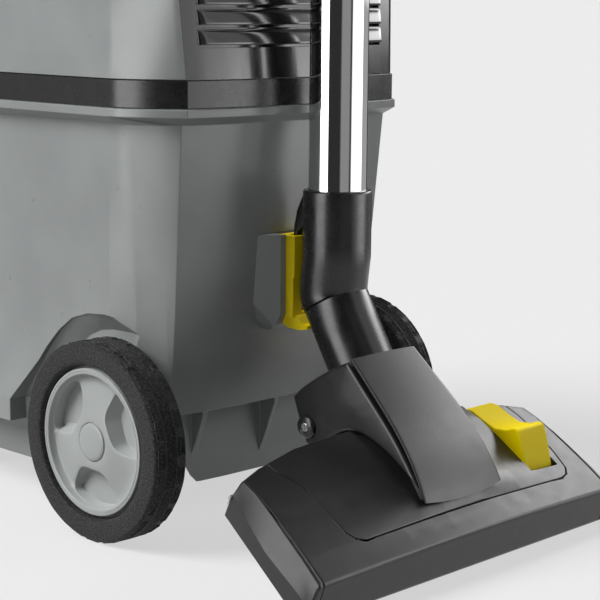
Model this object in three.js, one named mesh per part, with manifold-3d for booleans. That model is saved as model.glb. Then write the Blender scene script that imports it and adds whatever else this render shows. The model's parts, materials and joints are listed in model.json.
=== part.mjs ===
// A tub vacuum cleaner for commercial use. Its suction tube and floor nozzle are parked on its rear.
// Millimetres, +Z up. The machine drives towards +Y, its rear faces -Y, and +X is its right side.
import * as THREE from 'three';
import { mergeVertices } from 'three/addons/utils/BufferGeometryUtils.js';
import Module from 'manifold-3d';

const wasm = await Module();
wasm.setup();

// ---------------------------------------------------------------- driving dimensions

const clear = 0.3; // gap between pieces that touch
const wall = 3; // wall of the moulded shells
const wheelRound = 32; // facets of a wheel
const round = 20; // facets of a tube
const smallRound = 12; // facets of a small circle

// tub, head and their common outline, which is the outline of the black band between them
const bandHalf = 112.2; // half of the band's width
const bandRear = 190; // from the frame's middle back to the band
const bandFront = 165; // and forward to it
const creaseBack = 138; // where the flat side ends and the slanted corner begins
const cornerHalf = bandHalf - 23.4; // half of the rear face's width
const rearCrown = 8.4; // how far the rear face bulges
const frontStart = 60; // where the side starts to turn into the round front
const tubBottom = 26.5;
const ledgeBottom = 56.7; // the ledge along the tub's side
const ledgeTop = 71.5;
const ledgeHalf = bandHalf + 2.5;
const archTop = 135; // top of the wheel arches
const recessHalf = bandHalf - 17.2; // half of the width between the wheel recesses
const rimBottom = 251;
const rimTop = 260.4;
const rimProud = 1.6; // how far the rim stands proud of the band
const wallUnderRim = 6.6; // how far the tub's wall lies behind the band
const bandBottom = rimTop + 0.4;
const bandTop = 276.9;
const headShoulder = 352; // where the head starts to round over
const headTop = 376;
const headDraft = 5.7; // how much narrower each side is at the shoulder
const shellWall = 2.6;

// rear wheels
const wheelRadius = 61.5;
const tyreWidth = 24.7;
const wheelFace = bandHalf + 13.1; // outer face of the tyre, from the middle
const axleBack = 133.6;
const axleRadius = 6;
const rimRadius = 46.2; // seat of the tyre
const hubFaceRadius = 44.7;
const capRadius = 11.6;
const bushRadius = 9;

// front casters
const casterSpread = 72; // from the middle
const casterAhead = 96;
const casterRadius = 20;
const casterWidth = 17;
const casterTrail = 14;
const stemRadius = 5;
const casterFloor = 58; // underside of the tub above the casters

// parking bracket and clip on the rear wall
const bracketTop = 182;
const bracketBottom = 122;
const bracketHalf = 28.5; // at its root
const bracketTip = 187; // how far back its cheeks reach
const slotHalf = 12.4; // half of the slot between the cheeks
const clipTip = 193.3; // how far back the clip reaches
const clipFloor = 131;
const hookHalf = 7; // half of the hook's flange
const hookStemHalf = 3.4;

// suction tube
const tubeBack = 217.3; // from the frame's middle to the tube's axis
const tubeRadius = 17.5;
const tubeWall = 1;
const tubeLength = 505;
const tubeFoot = 172; // lower end of the lower tube
const tubeSeat = 40; // how far one tube goes into the next
const elbowRadius = 20.7;
const elbowBore = 15.5;
const elbowTop = 211.4;
const elbowTurn = 31; // degrees between the tube and the lower elbow
const elbowShift = 2.9; // how far the elbow's kink lies ahead of the tube's axis
const kinkHeight = 148.6;
const lowerElbowLength = 64;
const gripTurn = 35; // degrees of the hand piece's bend
const gripBend = 110;
const gripLength = 120;
const sleeveRadius = 21;
const gripRadius = 19;

// floor nozzle, drawn flat: +Z away from the floor, its front towards -Y, its pivot at the middle
const pivotBack = 222.7;
const pivotHeight = 71.2;
const nozzlePitch = 33; // degrees that the parked nozzle points down
const nozzleHalf = 126; // half of its width at the rear of its top
const nozzleFlare = 0.09; // how much each side spreads for each mm towards the front
const seamFlare = 0.0625; // and how much the seams of the end caps do
const endBulge = 3.2; // how far the ends bulge low down
const nozzleFront = 118.4;
const nozzleFrontFoot = 123.4;
const nozzleRear = 26;
const nozzleTop = 19.4;
const nozzleSole = -5.1;
const nozzleCrown = 3;
const nozzleHump = 6; // extra height under the neck
const coverDepth = 2.6; // thickness of the cover plate
const trunnionRadius = 9;
const trunnionHalf = 22;
const neckWall = 3;
const pedalLeft = 75;
const pedalRight = 101.5;

// head fittings
const handleHalf = 62;
const handleAhead = 40;
const handleLength = 96;
const handleRadius = 7;
const handleLift = 10.5; // axis of the handle above the head's top
const pinRadius = 3;
const buttonRadius = 17;
const buttonAhead = 98;
const buttonTravel = 4;
const motorRadius = 58;
const motorTop = 340;
const shaftRadius = 4;
const inletHeight = 190;
const inletRadius = 23;
const inletBore = 18.5;
const basketRadius = 74.5;
const latchAhead = 30;
const latchHalf = 20;
const latchPivot = 232;

// ---------------------------------------------------------------- finishes

const finish = (color, roughness, metalness = 0) => ({ color, roughness, metalness });
const greyPlastic = finish(0x8e9191, 0.5);
const palePlastic = finish(0xa4a7a7, 0.45);
const blackPlastic = finish(0x1d1d1e, 0.45);
const darkPlastic = finish(0x2c2c2d, 0.6);
const yellowPlastic = finish(0xf5d000, 0.4);
const rubber = finish(0x161616, 0.85);
const chrome = finish(0xdddddd, 0.08, 1);
const steel = finish(0xa8a8a8, 0.35, 1);
const fleece = finish(0xe6e2d6, 0.95);
const bristle = finish(0x101010, 0.9);

// ---------------------------------------------------------------- shapes

// Every shape below is a three.js geometry; solid() hands it to the boolean kernel, faces outwards.
function solid(geometry) {
  const bare = geometry.index ? geometry.toNonIndexed() : geometry.clone();
  bare.deleteAttribute('normal');
  bare.deleteAttribute('uv');
  const merged = mergeVertices(bare, 1e-4);
  const points = new Float32Array(merged.attributes.position.array);
  const corners = Array.from(merged.index.array);
  const faces = [];
  let volume = 0;
  const at = (corner) => new THREE.Vector3().fromArray(points, 3 * corner);
  for (let i = 0; i < corners.length; i += 3) {
    const [a, b, c] = corners.slice(i, i + 3);
    if (a === b || b === c || c === a) continue;
    faces.push(a, b, c);
    volume += at(a).dot(at(b).cross(at(c)));
  }
  if (volume < 0) faces.reverse();
  const mesh = new wasm.Mesh({ numProp: 3, vertProperties: points, triVerts: new Uint32Array(faces) });
  mesh.merge();
  return new wasm.Manifold(mesh);
}

function geometryOf(body) {
  const mesh = body.simplify(0.02).getMesh();
  const geometry = new THREE.BufferGeometry();
  geometry.setAttribute('position', new THREE.Float32BufferAttribute(mesh.vertProperties, 3));
  geometry.setIndex(Array.from(mesh.triVerts));
  geometry.computeVertexNormals();
  return geometry;
}

const shapeOf = (points) => new THREE.Shape(points.map(([a, b]) => new THREE.Vector2(a, b)));
const extrude = (shape, depth, steps = 1, curveSegments = 12) =>
  new THREE.ExtrudeGeometry(shape, { depth, steps, curveSegments, bevelEnabled: false });

// An outline of [x, y] points raised along Z, of [y, z] points along X, or of [x, z] points along Y.
const alongZ = (points, from, to) => solid(extrude(shapeOf(points), to - from).translate(0, 0, from));
function alongX(points, from, to) {
  const turn = new THREE.Matrix4().set(0, 0, 1, 0, 1, 0, 0, 0, 0, 1, 0, 0, 0, 0, 0, 1);
  return solid(extrude(shapeOf(points), to - from).applyMatrix4(turn).translate(from, 0, 0));
}
const alongY = (points, from, to) =>
  solid(extrude(shapeOf(points), to - from).rotateX(Math.PI / 2).translate(0, to, 0));

function box([x0, y0, z0], [x1, y1, z1]) {
  const shape = new THREE.BoxGeometry(x1 - x0, y1 - y0, z1 - z0);
  return solid(shape.translate((x0 + x1) / 2, (y0 + y1) / 2, (z0 + z1) / 2));
}

const facing = { x: (g) => g.rotateZ(-Math.PI / 2), y: (g) => g, z: (g) => g.rotateX(Math.PI / 2) };

// A rod along an axis, from one end to the other; middle is its place on the other two axes.
function rod(axis, radius, from, to, middle, facets = smallRound) {
  const shape = facing[axis](new THREE.CylinderGeometry(radius, radius, to - from, facets));
  const half = (from + to) / 2;
  const place = { x: [half, ...middle], y: [middle[0], half, middle[1]], z: [...middle, half] }[axis];
  return solid(shape.translate(...place));
}

// A closed profile of [radius, along] points turned about an axis.
function turned(axis, profile, middle = [0, 0], facets = round) {
  const outline = profile.map(([radius, along]) => new THREE.Vector2(Math.max(radius, 0), along));
  const closed = [...outline, outline[0].clone()];
  const shape = facing[axis](new THREE.LatheGeometry(closed, facets));
  const place = { x: [0, ...middle], y: [middle[0], 0, middle[1]], z: [...middle, 0] }[axis];
  return solid(shape.translate(...place));
}

const ring = (axis, outer, inner, from, to, middle, facets) =>
  turned(axis, [[inner, from], [outer, from], [outer, to], [inner, to]], middle, facets);

// An outline pulled through levels; each level is a function that places a point of the outline.
function loft(points, levels) {
  const geometry = extrude(shapeOf(points), levels.length - 1, levels.length - 1);
  const position = geometry.attributes.position;
  for (let i = 0; i < position.count; i++) {
    const level = levels[Math.round(position.getZ(i))];
    position.setXYZ(i, ...level(position.getX(i), position.getY(i)));
  }
  return solid(geometry);
}

function warp(geometry, change) {
  const position = geometry.attributes.position;
  for (let i = 0; i < position.count; i++) {
    position.setXYZ(i, ...change(position.getX(i), position.getY(i), position.getZ(i)));
  }
  return solid(geometry);
}

const mirrored = (body) => body.mirror([1, 0, 0]);
const both = (body) => body.add(mirrored(body));
const radians = THREE.MathUtils.degToRad;

const group = new THREE.Group();
function add(name, body, look, parent = group) {
  const mesh = new THREE.Mesh(geometryOf(body), new THREE.MeshStandardMaterial(look));
  mesh.name = name;
  parent.add(mesh);
  return mesh;
}

// ---------------------------------------------------------------- the machine's outline

// Points of the outline seen from above, at the band's size.
function outline() {
  const points = [];
  const rearSteps = 6;
  for (let i = 0; i <= rearSteps; i++) {
    const t = (2 * i) / rearSteps - 1;
    points.push([t * cornerHalf, -bandRear + rearCrown * t * t]);
  }
  points.push([bandHalf, -creaseBack], [bandHalf, frontStart]);
  const frontSteps = 10;
  for (let i = 1; i < frontSteps; i++) {
    const angle = (i / frontSteps) * Math.PI;
    const across = Math.sign(Math.cos(angle)) * Math.abs(Math.cos(angle)) ** 0.6;
    const ahead = Math.sin(angle) ** 0.7;
    points.push([bandHalf * across, frontStart + (bandFront - frontStart) * ahead]);
  }
  points.push([-bandHalf, frontStart], [-bandHalf, -creaseBack]);
  return points;
}

// One level of a loft on that outline, with its own half width, rear and front.
const level = (height, half, rear, front, corner = (cornerHalf * half) / bandHalf) => (x, y) => {
  const across = y < -creaseBack - 1 ? (x * corner) / cornerHalf : (x * half) / bandHalf;
  return [across, y < 0 ? (y * rear) / bandRear : (y * front) / bandFront, height];
};
const inset = (height, drop) => level(height, bandHalf - drop, bandRear - drop, bandFront - drop);

// ---------------------------------------------------------------- tub

const tubWallHalf = bandHalf - wallUnderRim;
const tubWallRear = bandRear - wallUnderRim;
const tubWallFront = bandFront - wallUnderRim;
const pocketTop = 75; // of the pockets low in the rear wall
const pocketBottom = 38;
const pocketBack = 153.3;
const rearAtPocket = 168; // rear wall at the pockets' top
const archHalf = bandHalf - 9.4; // half width just over the wheel arches
const archCorner = cornerHalf - 4.4; // half of the rear face's width there
const wallCorner = cornerHalf - 1.2; // and under the rim
const lowCorner = cornerHalf - 1.8; // and at the bottom
const rearOfWall = (height) =>
  rearAtPocket + ((tubWallRear - rearAtPocket) * (height - pocketTop)) / (rimBottom - pocketTop);
const rearAtArch = rearOfWall(archTop);
const rearLow = (height) =>
  pocketBack + ((rearAtPocket - pocketBack) * (height - pocketBottom)) / (pocketTop - pocketBottom);

function tubOuter() {
  return loft(outline(), [
    level(tubBottom, recessHalf - 4, pocketBack - 1, bandFront - 24, lowCorner),
    level(pocketBottom, recessHalf - 1.5, pocketBack, bandFront - 21, lowCorner),
    level(ledgeBottom, recessHalf + 1.5, rearLow(ledgeBottom), bandFront - 18, lowCorner + 1),
    level(ledgeBottom + 0.2, ledgeHalf, rearLow(ledgeBottom), bandFront - 8, lowCorner + 1),
    level(ledgeTop, ledgeHalf, rearLow(ledgeTop), bandFront - 8, lowCorner + 2),
    level(pocketTop + 24, archHalf + 3.6, rearOfWall(pocketTop + 24), bandFront - 13, archCorner),
    level(archTop, archHalf, rearAtArch, bandFront - 12, archCorner),
    level(rimBottom, tubWallHalf, tubWallRear, tubWallFront, wallCorner),
    level(rimBottom + 4.5, bandHalf + rimProud, bandRear + rimProud, bandFront + rimProud),
    level(rimTop, bandHalf + rimProud, bandRear + rimProud, bandFront + rimProud),
  ]);
}

// The wheel arch seen from the side: its outer edge, and its inner edge on the recess wall.
const archBevel = 10;
const archOuter = [[-230, 10], [-230, archTop + 3], [-122, archTop],
  [-106, archTop - 1.5], [-92, archTop - 6],
  [-80, archTop - 15], [-69, archTop - 27], [-42, ledgeTop], [-42, ledgeBottom], [-46, 10]];
const archInner = [[-230, 10], [-230, archTop + 3 - archBevel], [-122, archTop - archBevel],
  [-110, archTop - 2 - archBevel], [-99, archTop - 7 - archBevel], [-90, archTop - 15 - archBevel],
  [-81, archTop - 27 - archBevel], [-58, ledgeTop], [-58, ledgeBottom], [-60, 10]];

function archCutter() {
  const place = (edge, x) => (y, z) => {
    const index = archOuter.findIndex(([py, pz]) => Math.abs(py - y) < 1e-3 && Math.abs(pz - z) < 1e-3);
    return [-x, ...edge[index]];
  };
  const steps = [place(archInner, recessHalf), place(archOuter, recessHalf + 7.5), place(archOuter, bandHalf + 27.8)];
  return loft(archOuter, steps);
}

// Under the arches' height the slanted corners lie further in, with the same bevel above.
function cornerCutter() {
  const far = bandHalf + 27.8;
  const high = [[-archCorner, -176], [-archHalf, -126], [-far, -126], [-far, -176]];
  const low = [[-archCorner + 2.6, -176], [-recessHalf, -141], [-far, -141], [-far, -176]];
  const place = (edge, height) => (x, y) => {
    const index = high.findIndex(([px, py]) => Math.abs(px - x) < 1e-3 && Math.abs(py - y) < 1e-3);
    return [...edge[index], height];
  };
  return loft(high, [place(low, pocketTop), place(low, archTop - archBevel), place(high, archTop)]);
}

const floorTop = tubBottom + wall + 1; // inner floor between the wheels and the casters
const axleTunnelTop = 80;
const tunnelAhead = 98; // front wall of the axle tunnel
const casterWall = 58; // rear wall of the caster space
const innerHalf = recessHalf - 4;

function tubCavity() {
  const lowHalf = innerHalf - 2.5;
  const lower = loft(outline(), [
    level(axleTunnelTop + 4, innerHalf, rearOfWall(axleTunnelTop + 4) - wall, bandFront - 17),
    level(archTop + 7, innerHalf, rearOfWall(archTop + 7) - wall, bandFront - 16),
    level(archTop + 12, archHalf - wall, rearOfWall(archTop + 12) - wall, bandFront - 15),
    level(rimBottom, tubWallHalf - wall, tubWallRear - wall, tubWallFront - wall),
    level(rimTop + 1, tubWallHalf - wall, tubWallRear - wall, tubWallFront - wall),
  ]);
  const deep = box([-lowHalf, -tunnelAhead + 4, floorTop], [lowHalf, casterWall - 4, axleTunnelTop + 5]);
  const ahead = box([-lowHalf + 3, casterWall - 5, casterFloor + wall],
    [lowHalf - 3, 122, axleTunnelTop + 5]);
  return lower.add(deep).add(ahead);
}

function tub() {
  let body = tubOuter().add(rod('y', inletRadius + 11, 120, bandFront + 1, [0, inletHeight], round));
  body = body.subtract(tubCavity());
  body = body.subtract(both(archCutter().add(cornerCutter())));
  body = body.subtract(box([-innerHalf, -pocketBack + 3.6, 0], [innerHalf, -tunnelAhead, axleTunnelTop]));
  body = body.subtract(box([-150, casterWall, 0], [150, 220, casterFloor]));
  body = body.add(both(rod('z', stemRadius + 6, casterFloor - 12, casterFloor + 1, [casterSpread, casterAhead])));
  body = body.subtract(both(rod('z', stemRadius + clear, 0, casterFloor - 0.2, [casterSpread, casterAhead])));
  body = body.subtract(rod('x', bushRadius + clear, -120, 120, [-axleBack, wheelRadius], round));
  body = body.subtract(rod('y', inletRadius + clear, 100, 200, [0, inletHeight], round));
  const pockets = [[1.5, 56.5], [60, innerHalf]];
  for (const [from, to] of pockets) {
    body = body.subtract(both(box([from, -220, pocketBottom], [to, -pocketBack, pocketTop])));
  }
  // ears that carry the latches' pins
  const earProfile = [[tubWallHalf - 3, latchPivot - 7], [bandHalf + 5, latchPivot - 6],
    [bandHalf + 5, latchPivot + 6], [tubWallHalf - 3, latchPivot + 7]];
  for (const side of [-1, 1]) {
    const near = latchAhead + side * (latchHalf + 3);
    const ear = alongY(earProfile, near - 2.4, near + 2.4);
    body = body.add(both(ear));
  }
  const pinHole = rod('y', pinRadius + clear, latchAhead - 40, latchAhead + 40, [latchPin, latchPivot]);
  return body.subtract(both(pinHole));
}

const latchPin = bandHalf + 1; // the latches' axis, from the middle

add('tub', tub(), greyPlastic);

// rubber seal that the band presses onto the rim
const sealHalf = bandHalf - 4.4;
const loftRing = (from, to, outerDrop, innerDrop) =>
  loft(outline(), [inset(from, outerDrop), inset(to, outerDrop)])
    .subtract(loft(outline(), [inset(from - 1, innerDrop), inset(to + 1, innerDrop)]));
const deckBottom = 270;
const deckTop = 274;
add('tub_seal', loftRing(rimTop + clear, deckBottom - clear, bandHalf - sealHalf, 7), rubber);

// basket filter that hangs in the tub's mouth by its flange
function filterBasket() {
  const flangeTop = rimTop + clear + 2.5;
  const basketBottom = 170;
  const flange = loft(outline(), [inset(rimTop + clear, 7.4), inset(flangeTop, 7.4)]);
  const cup = rod('z', basketRadius, basketBottom, rimTop + 1, [0, -10], round);
  const hollow = rod('z', basketRadius - 2.5, basketBottom + 2.5, flangeTop + 1, [0, -10], round);
  return flange.add(cup).subtract(hollow);
}
add('filter_basket', filterBasket(), darkPlastic);

// fleece bag on the tub's floor
const bagHalfHeight = 66;
const bag = new THREE.SphereGeometry(1, 16, 10).scale(78, 70, bagHalfHeight);
add('filter_bag', solid(bag.translate(0, -19, floorTop + clear + bagHalfHeight)), fleece);

// socket that the hose plugs into
const inletProfile = [[inletBore, 118], [inletRadius, 118], [inletRadius, bandFront + 1.3],
  [inletRadius + 8, bandFront + 1.3], [inletRadius + 7, bandFront + 8], [inletBore, bandFront + 8]];
add('inlet_socket', turned('y', inletProfile, [0, inletHeight]), blackPlastic);

// ---------------------------------------------------------------- parking bracket and clip

function parkingBracket() {
  const root = (height) => -rearOfWall(height) - clear;
  const side = [[root(bracketTop), bracketTop], [root(bracketBottom + 18), bracketBottom + 18],
    [root(bracketBottom + 7), bracketBottom + 7], [root(bracketBottom), bracketBottom],
    [-bracketTip + 8, bracketBottom + 0.5], [-bracketTip + 3, bracketBottom + 4], [-bracketTip, bracketBottom + 11],
    [-bracketTip, bracketTop]];
  const geometry = extrude(shapeOf(side), 2 * bracketHalf, 4).translate(0, 0, -bracketHalf);
  const body = warp(geometry, (y, z, x) => {
    const out = (-y - rearOfWall(z)) / (bracketTip - rearOfWall(z));
    const low = Math.max(0, bracketBottom + 18 - z) / 18;
    return [x * (1 - 0.4 * Math.max(0, out, low * low)), y, z];
  });
  return body.subtract(box([-slotHalf, -220, bracketBottom - 5], [slotHalf, -bracketTip + 9, bracketTop + 5]));
}
add('parking_bracket', parkingBracket(), greyPlastic);

// yellow clip in the bracket, with a channel for the elbow's hook and a scoop below
const hookTip = 184.2; // how far forward the hook's flange reaches
const hookBack = 190.2; // rear face of the flange
const hookFoot = clipFloor + 3 + clear;
function parkingClip() {
  const outerHalf = slotHalf - clear;
  const body = box([-outerHalf, -clipTip, clipFloor], [outerHalf, -bracketTip + 8.6, bracketTop - 0.6]);
  const channel = box([-hookHalf - 0.6, -hookBack - 0.6, clipFloor + 3], [hookHalf + 0.6, -hookTip + 0.6, 200]);
  const mouth = box([-hookStemHalf - 0.6, -220, clipFloor + 3], [hookStemHalf + 0.6, -hookBack, 200]);
  const scoop = alongX([[-179, clipFloor - 3.6], [-186, clipFloor - 7], [-196, clipFloor - 7.5],
    [-203, clipFloor - 6], [-203, clipFloor - 4], [-199, clipFloor - 3], [-194, clipFloor + 1],
    [-179, clipFloor + 1]], -outerHalf + 2, outerHalf - 2);
  const kinkRoom = box([-20, -210, clipFloor - 1], [20, -192.4, 156]);
  return body.subtract(channel).subtract(mouth).subtract(kinkRoom).add(scoop);
}
add('parking_clip', parkingClip(), yellowPlastic);

// ---------------------------------------------------------------- rear wheels

const axleEnd = wheelFace - 6.5;
add('rear_axle', rod('x', axleRadius, -axleEnd, axleEnd, [-axleBack, wheelRadius], round), steel);

function axleBush() {
  const profile = [[axleRadius + clear, innerHalf - 3], [bushRadius, innerHalf - 3],
    [bushRadius, recessHalf + 0.4], [bushRadius + 2, recessHalf + 0.4], [bushRadius + 2, recessHalf + 2],
    [axleRadius + clear, recessHalf + 2]];
  return turned('x', profile, [-axleBack, wheelRadius]);
}
add('axle_bush_left', mirrored(axleBush()), darkPlastic);
add('axle_bush_right', axleBush(), darkPlastic);

// Wheels are drawn about the X axis, with their outer face at 0 and their inner face at +tyreWidth.
function tyre() {
  const shoulder = wheelRadius - 1.8;
  const seat = rimRadius + clear;
  const groove = 1.3;
  const profile = [[seat, 0.6], [seat + 5, 0], [shoulder, 0], [wheelRadius, 2.2]];
  for (const at of [9, 15.6]) {
    profile.push([wheelRadius, at - groove / 2], [wheelRadius - groove, at - groove / 2]);
    profile.push([wheelRadius - groove, at + groove / 2], [wheelRadius, at + groove / 2]);
  }
  profile.push([wheelRadius, tyreWidth - 2.2], [shoulder, tyreWidth], [seat, tyreWidth]);
  return turned('x', profile, [0, 0], wheelRound);
}

const spokes = 3;
function hub() {
  const bore = axleRadius + clear;
  const profile = [[bore, 4.6], [capRadius + clear, 4.6], [capRadius + clear, 2.6], [15, 2.6], [38.5, 6],
    [41.2, 1.6], [hubFaceRadius, 1.6], [hubFaceRadius, 5], [rimRadius, 6], [rimRadius, tyreWidth - 2],
    [rimRadius - 3, tyreWidth - 2], [rimRadius - 3, 15.5], [13, 15.5], [13, tyreWidth + 3.2], [bore, tyreWidth + 3.2]];
  let body = turned('x', profile, [0, 0], wheelRound);
  for (let i = 0; i < spokes; i++) {
    const middle = radians(150 + (i * 360) / spokes);
    const corner = (radius, degrees) => [radius * Math.cos(middle + radians(degrees)),
      radius * Math.sin(middle + radians(degrees))];
    const window = [corner(17, -24), corner(26, -36), corner(38.2, -40), corner(39.5, -14),
      corner(39.5, 14), corner(38.2, 40), corner(28, 32), corner(17, 22)];
    body = body.subtract(alongX(window, -2, 13));
  }
  return body;
}

function wheelCap() {
  const profile = [[0, 1.4], [capRadius - 1.4, 1.4], [capRadius, 2.6], [capRadius, 4.3], [0, 4.3]];
  return turned('x', profile, [0, 0], wheelRound);
}

for (const [side, sign] of [['left', -1], ['right', 1]]) {
  const wheel = new THREE.Group();
  wheel.position.set(sign * wheelFace, -axleBack, wheelRadius);
  const handed = (body) => (sign < 0 ? body : mirrored(body));
  add(`tyre_${side}`, handed(tyre()), rubber, wheel);
  add(`wheel_hub_${side}`, handed(hub()), palePlastic, wheel);
  add(`wheel_cap_${side}`, handed(wheelCap()), palePlastic, wheel);
  group.add(wheel);
}

// ---------------------------------------------------------------- front casters

function casterFork() {
  const plateTop = casterFloor - 12 - 0.4;
  const plateBottom = plateTop - 3;
  const cheekIn = casterWidth / 2 + 0.4;
  let body = rod('z', stemRadius, plateBottom, casterFloor - 1, [0, 0]);
  body = body.add(rod('z', 14, plateBottom, plateTop, [0, 0], round));
  body = body.add(box([-cheekIn - 3, -casterTrail - 8, plateBottom], [cheekIn + 3, 6, plateTop]));
  const cheek = [[6, plateTop], [-casterTrail - 8, plateTop], [-casterTrail - 7, casterRadius],
    [-casterTrail, casterRadius - 7], [-casterTrail + 7, casterRadius]];
  body = body.add(both(alongX(cheek, cheekIn, cheekIn + 3)));
  return body.add(rod('x', 3, -cheekIn - 3, cheekIn + 3, [-casterTrail, casterRadius]));
}

function casterWheel() {
  const half = casterWidth / 2;
  const profile = [[3 + clear, -half], [casterRadius - 3, -half], [casterRadius, -half + 3],
    [casterRadius, half - 3], [casterRadius - 3, half], [3 + clear, half]];
  return turned('x', profile, [-casterTrail, casterRadius]);
}

for (const [side, sign] of [['left', -1], ['right', 1]]) {
  const caster = new THREE.Group();
  caster.position.set(sign * casterSpread, casterAhead, 0);
  add(`caster_fork_${side}`, casterFork(), blackPlastic, caster);
  add(`caster_wheel_${side}`, casterWheel(), darkPlastic, caster);
  group.add(caster);
}

// ---------------------------------------------------------------- head

const intakeRadius = 34;
function headBase() {
  const body = loft(outline(), [inset(bandBottom, 0), inset(bandTop, 0)]);
  const below = loft(outline(), [inset(bandBottom - 1, 4), inset(deckBottom, 4)]);
  const above = loft(outline(), [inset(deckTop, 4), inset(bandTop + 1, 4)]);
  const intake = rod('z', intakeRadius, deckBottom - 1, deckTop + 1, [0, -10], round);
  return body.subtract(below).subtract(above).subtract(intake);
}
add('head_base', headBase(), blackPlastic);

const headFoot = bandTop + clear;
const edgeAt = (height) => 88.2 + 0.054 * (height - bandTop); // where the grey side covers end, seen from behind
const coverZone = (play) => [[edgeAt(270) + play, 270], [edgeAt(400) + play, 400], [150, 400], [150, 270]];
function headShell(drop, top) {
  const at = (height, depth, corner) =>
    level(height, bandHalf - depth - drop, bandRear - depth - drop, bandFront - depth - drop, corner - drop);
  const foot = headFoot - (drop > 0 ? 1 : 0);
  return loft(outline(), [at(foot, 0.8, edgeAt(foot)), at(headShoulder, headDraft, edgeAt(headShoulder)),
    at(headShoulder + 13, headDraft + 4, 90), at(top - 3, headDraft + 12, 84), at(top, headDraft + 17, 79)]);
}
const shell = headShell(0, headTop).subtract(headShell(shellWall, headTop - shellWall));
const coverEdges = alongY(coverZone(clear), -250, 250);
const betweenCovers = (rear, front, top) =>
  box([-150, rear, 0], [150, front, top]).subtract(both(alongY(coverZone(0), -250, 250)));
const panelTop = headShoulder + 1;

const sideCover = shell.intersect(coverEdges);
const glandHeight = 305;
const glandAhead = 45;
const glandHole = rod('x', 8 + clear, 80, 150, [glandAhead, glandHeight]);
add('side_cover_left', mirrored(sideCover), greyPlastic);
add('side_cover_right', sideCover.subtract(glandHole), greyPlastic);

// black panels between the side covers, with louvres at the rear
const rearSink = 1.4; // how far the rear panel lies behind the covers
const louvreHalf = 79;
const louvrePitch = 11.5;
const louvreRows = 5;
const firstLouvre = 297;
function rearPanel() {
  const sunk = shell.translate([0, rearSink, 0]);
  let body = sunk.intersect(betweenCovers(-250, -80, panelTop));
  for (let i = 0; i < louvreRows; i++) {
    const foot = firstLouvre + i * louvrePitch;
    const drop = ((foot - headFoot) / (headShoulder - headFoot)) * (headDraft - 0.8) + 0.8;
    const face = -bandRear + rearSink + drop;
    const scoop = [[face + 3.2, foot], [face - 2.4, foot], [face - 2.6, foot + 1.4], [face - 1.4, foot + 5],
      [face + 1, foot + 8.4], [face + 3.2, foot + 9.4]];
    body = body.add(alongX(scoop, -louvreHalf, louvreHalf));
    const slot = box([-louvreHalf, -bandRear - 10, foot - 1.6], [louvreHalf, -bandRear + 20, foot]);
    body = body.subtract(slot);
  }
  return body;
}
add('rear_panel', rearPanel(), blackPlastic);
add('front_panel', shell.intersect(betweenCovers(0, 250, panelTop)), blackPlastic);

const fingerTop = headTop + 1;
const earIn = handleHalf + 6;
const handleAxis = headTop + handleLift;
function topCover() {
  let body = shell.intersect(betweenCovers(-250, 250, 500)).trimByPlane([0, 0, 1], panelTop + clear);
  const well = box([-46, -88, headTop - 18], [46, -32, fingerTop]);
  body = body.add(box([-48.5, -90.5, headTop - 20.5], [48.5, -29.5, headTop - 1])).subtract(well);
  const ear = alongX([[handleAhead - 9, headTop - 1], [handleAhead + 9, headTop - 1],
    [handleAhead + 7, handleAxis + 5], [handleAhead - 7, handleAxis + 5]], earIn, earIn + 7);
  body = body.add(both(ear));
  body = body.subtract(rod('x', pinRadius + clear, -100, 100, [handleAhead, handleAxis]));
  return body.subtract(rod('z', buttonRadius + 0.4, headTop - 20, headTop + 5, [0, buttonAhead], round));
}
add('top_cover', topCover(), greyPlastic);

// carry handle: a bail that lies back on the head
function carryHandle() {
  const reach = -handleAhead + handleLength;
  const gripCorner = 16;
  const arm = rod('y', handleRadius, -reach + gripCorner, handleAhead, [handleHalf - handleRadius, handleAxis]);
  const knuckle = rod('x', handleRadius + 1, handleHalf - 2 * handleRadius, earIn - clear,
    [handleAhead, handleAxis]);
  const corner = new THREE.SphereGeometry(handleRadius + 0.02, 12, 8);
  const turn = solid(corner.translate(handleHalf - handleRadius, -reach + gripCorner, handleAxis));
  const grip = rod('x', handleRadius, -handleHalf + handleRadius, handleHalf - handleRadius,
    [-reach + gripCorner, handleAxis]);
  const pin = rod('x', pinRadius, handleHalf, earIn + 6.5, [handleAhead, handleAxis]);
  return both(arm.add(knuckle).add(turn).add(pin)).add(grip);
}
add('carry_handle', carryHandle(), blackPlastic);

// power button over its switch
const buttonFoot = headTop - shellWall - 8;
function powerButton() {
  const profile = [[0, buttonFoot], [buttonRadius + 2, buttonFoot], [buttonRadius + 2, buttonFoot + 3],
    [buttonRadius, buttonFoot + 3], [buttonRadius, headTop + 3.6], [buttonRadius - 1.6, headTop + 5],
    [0, headTop + 5]];
  return turned('z', profile, [0, buttonAhead]);
}
const switchTop = buttonFoot - buttonTravel - 8;
add('power_button', powerButton(), yellowPlastic);
add('button_spring', ring('z', 7, 5.4, switchTop + clear, buttonFoot - clear, [0, buttonAhead]), steel);
const switchBlock = box([-16, buttonAhead - 15, deckTop + clear], [16, buttonAhead + 15, switchTop]);
add('switch_block', switchBlock, darkPlastic);

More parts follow.
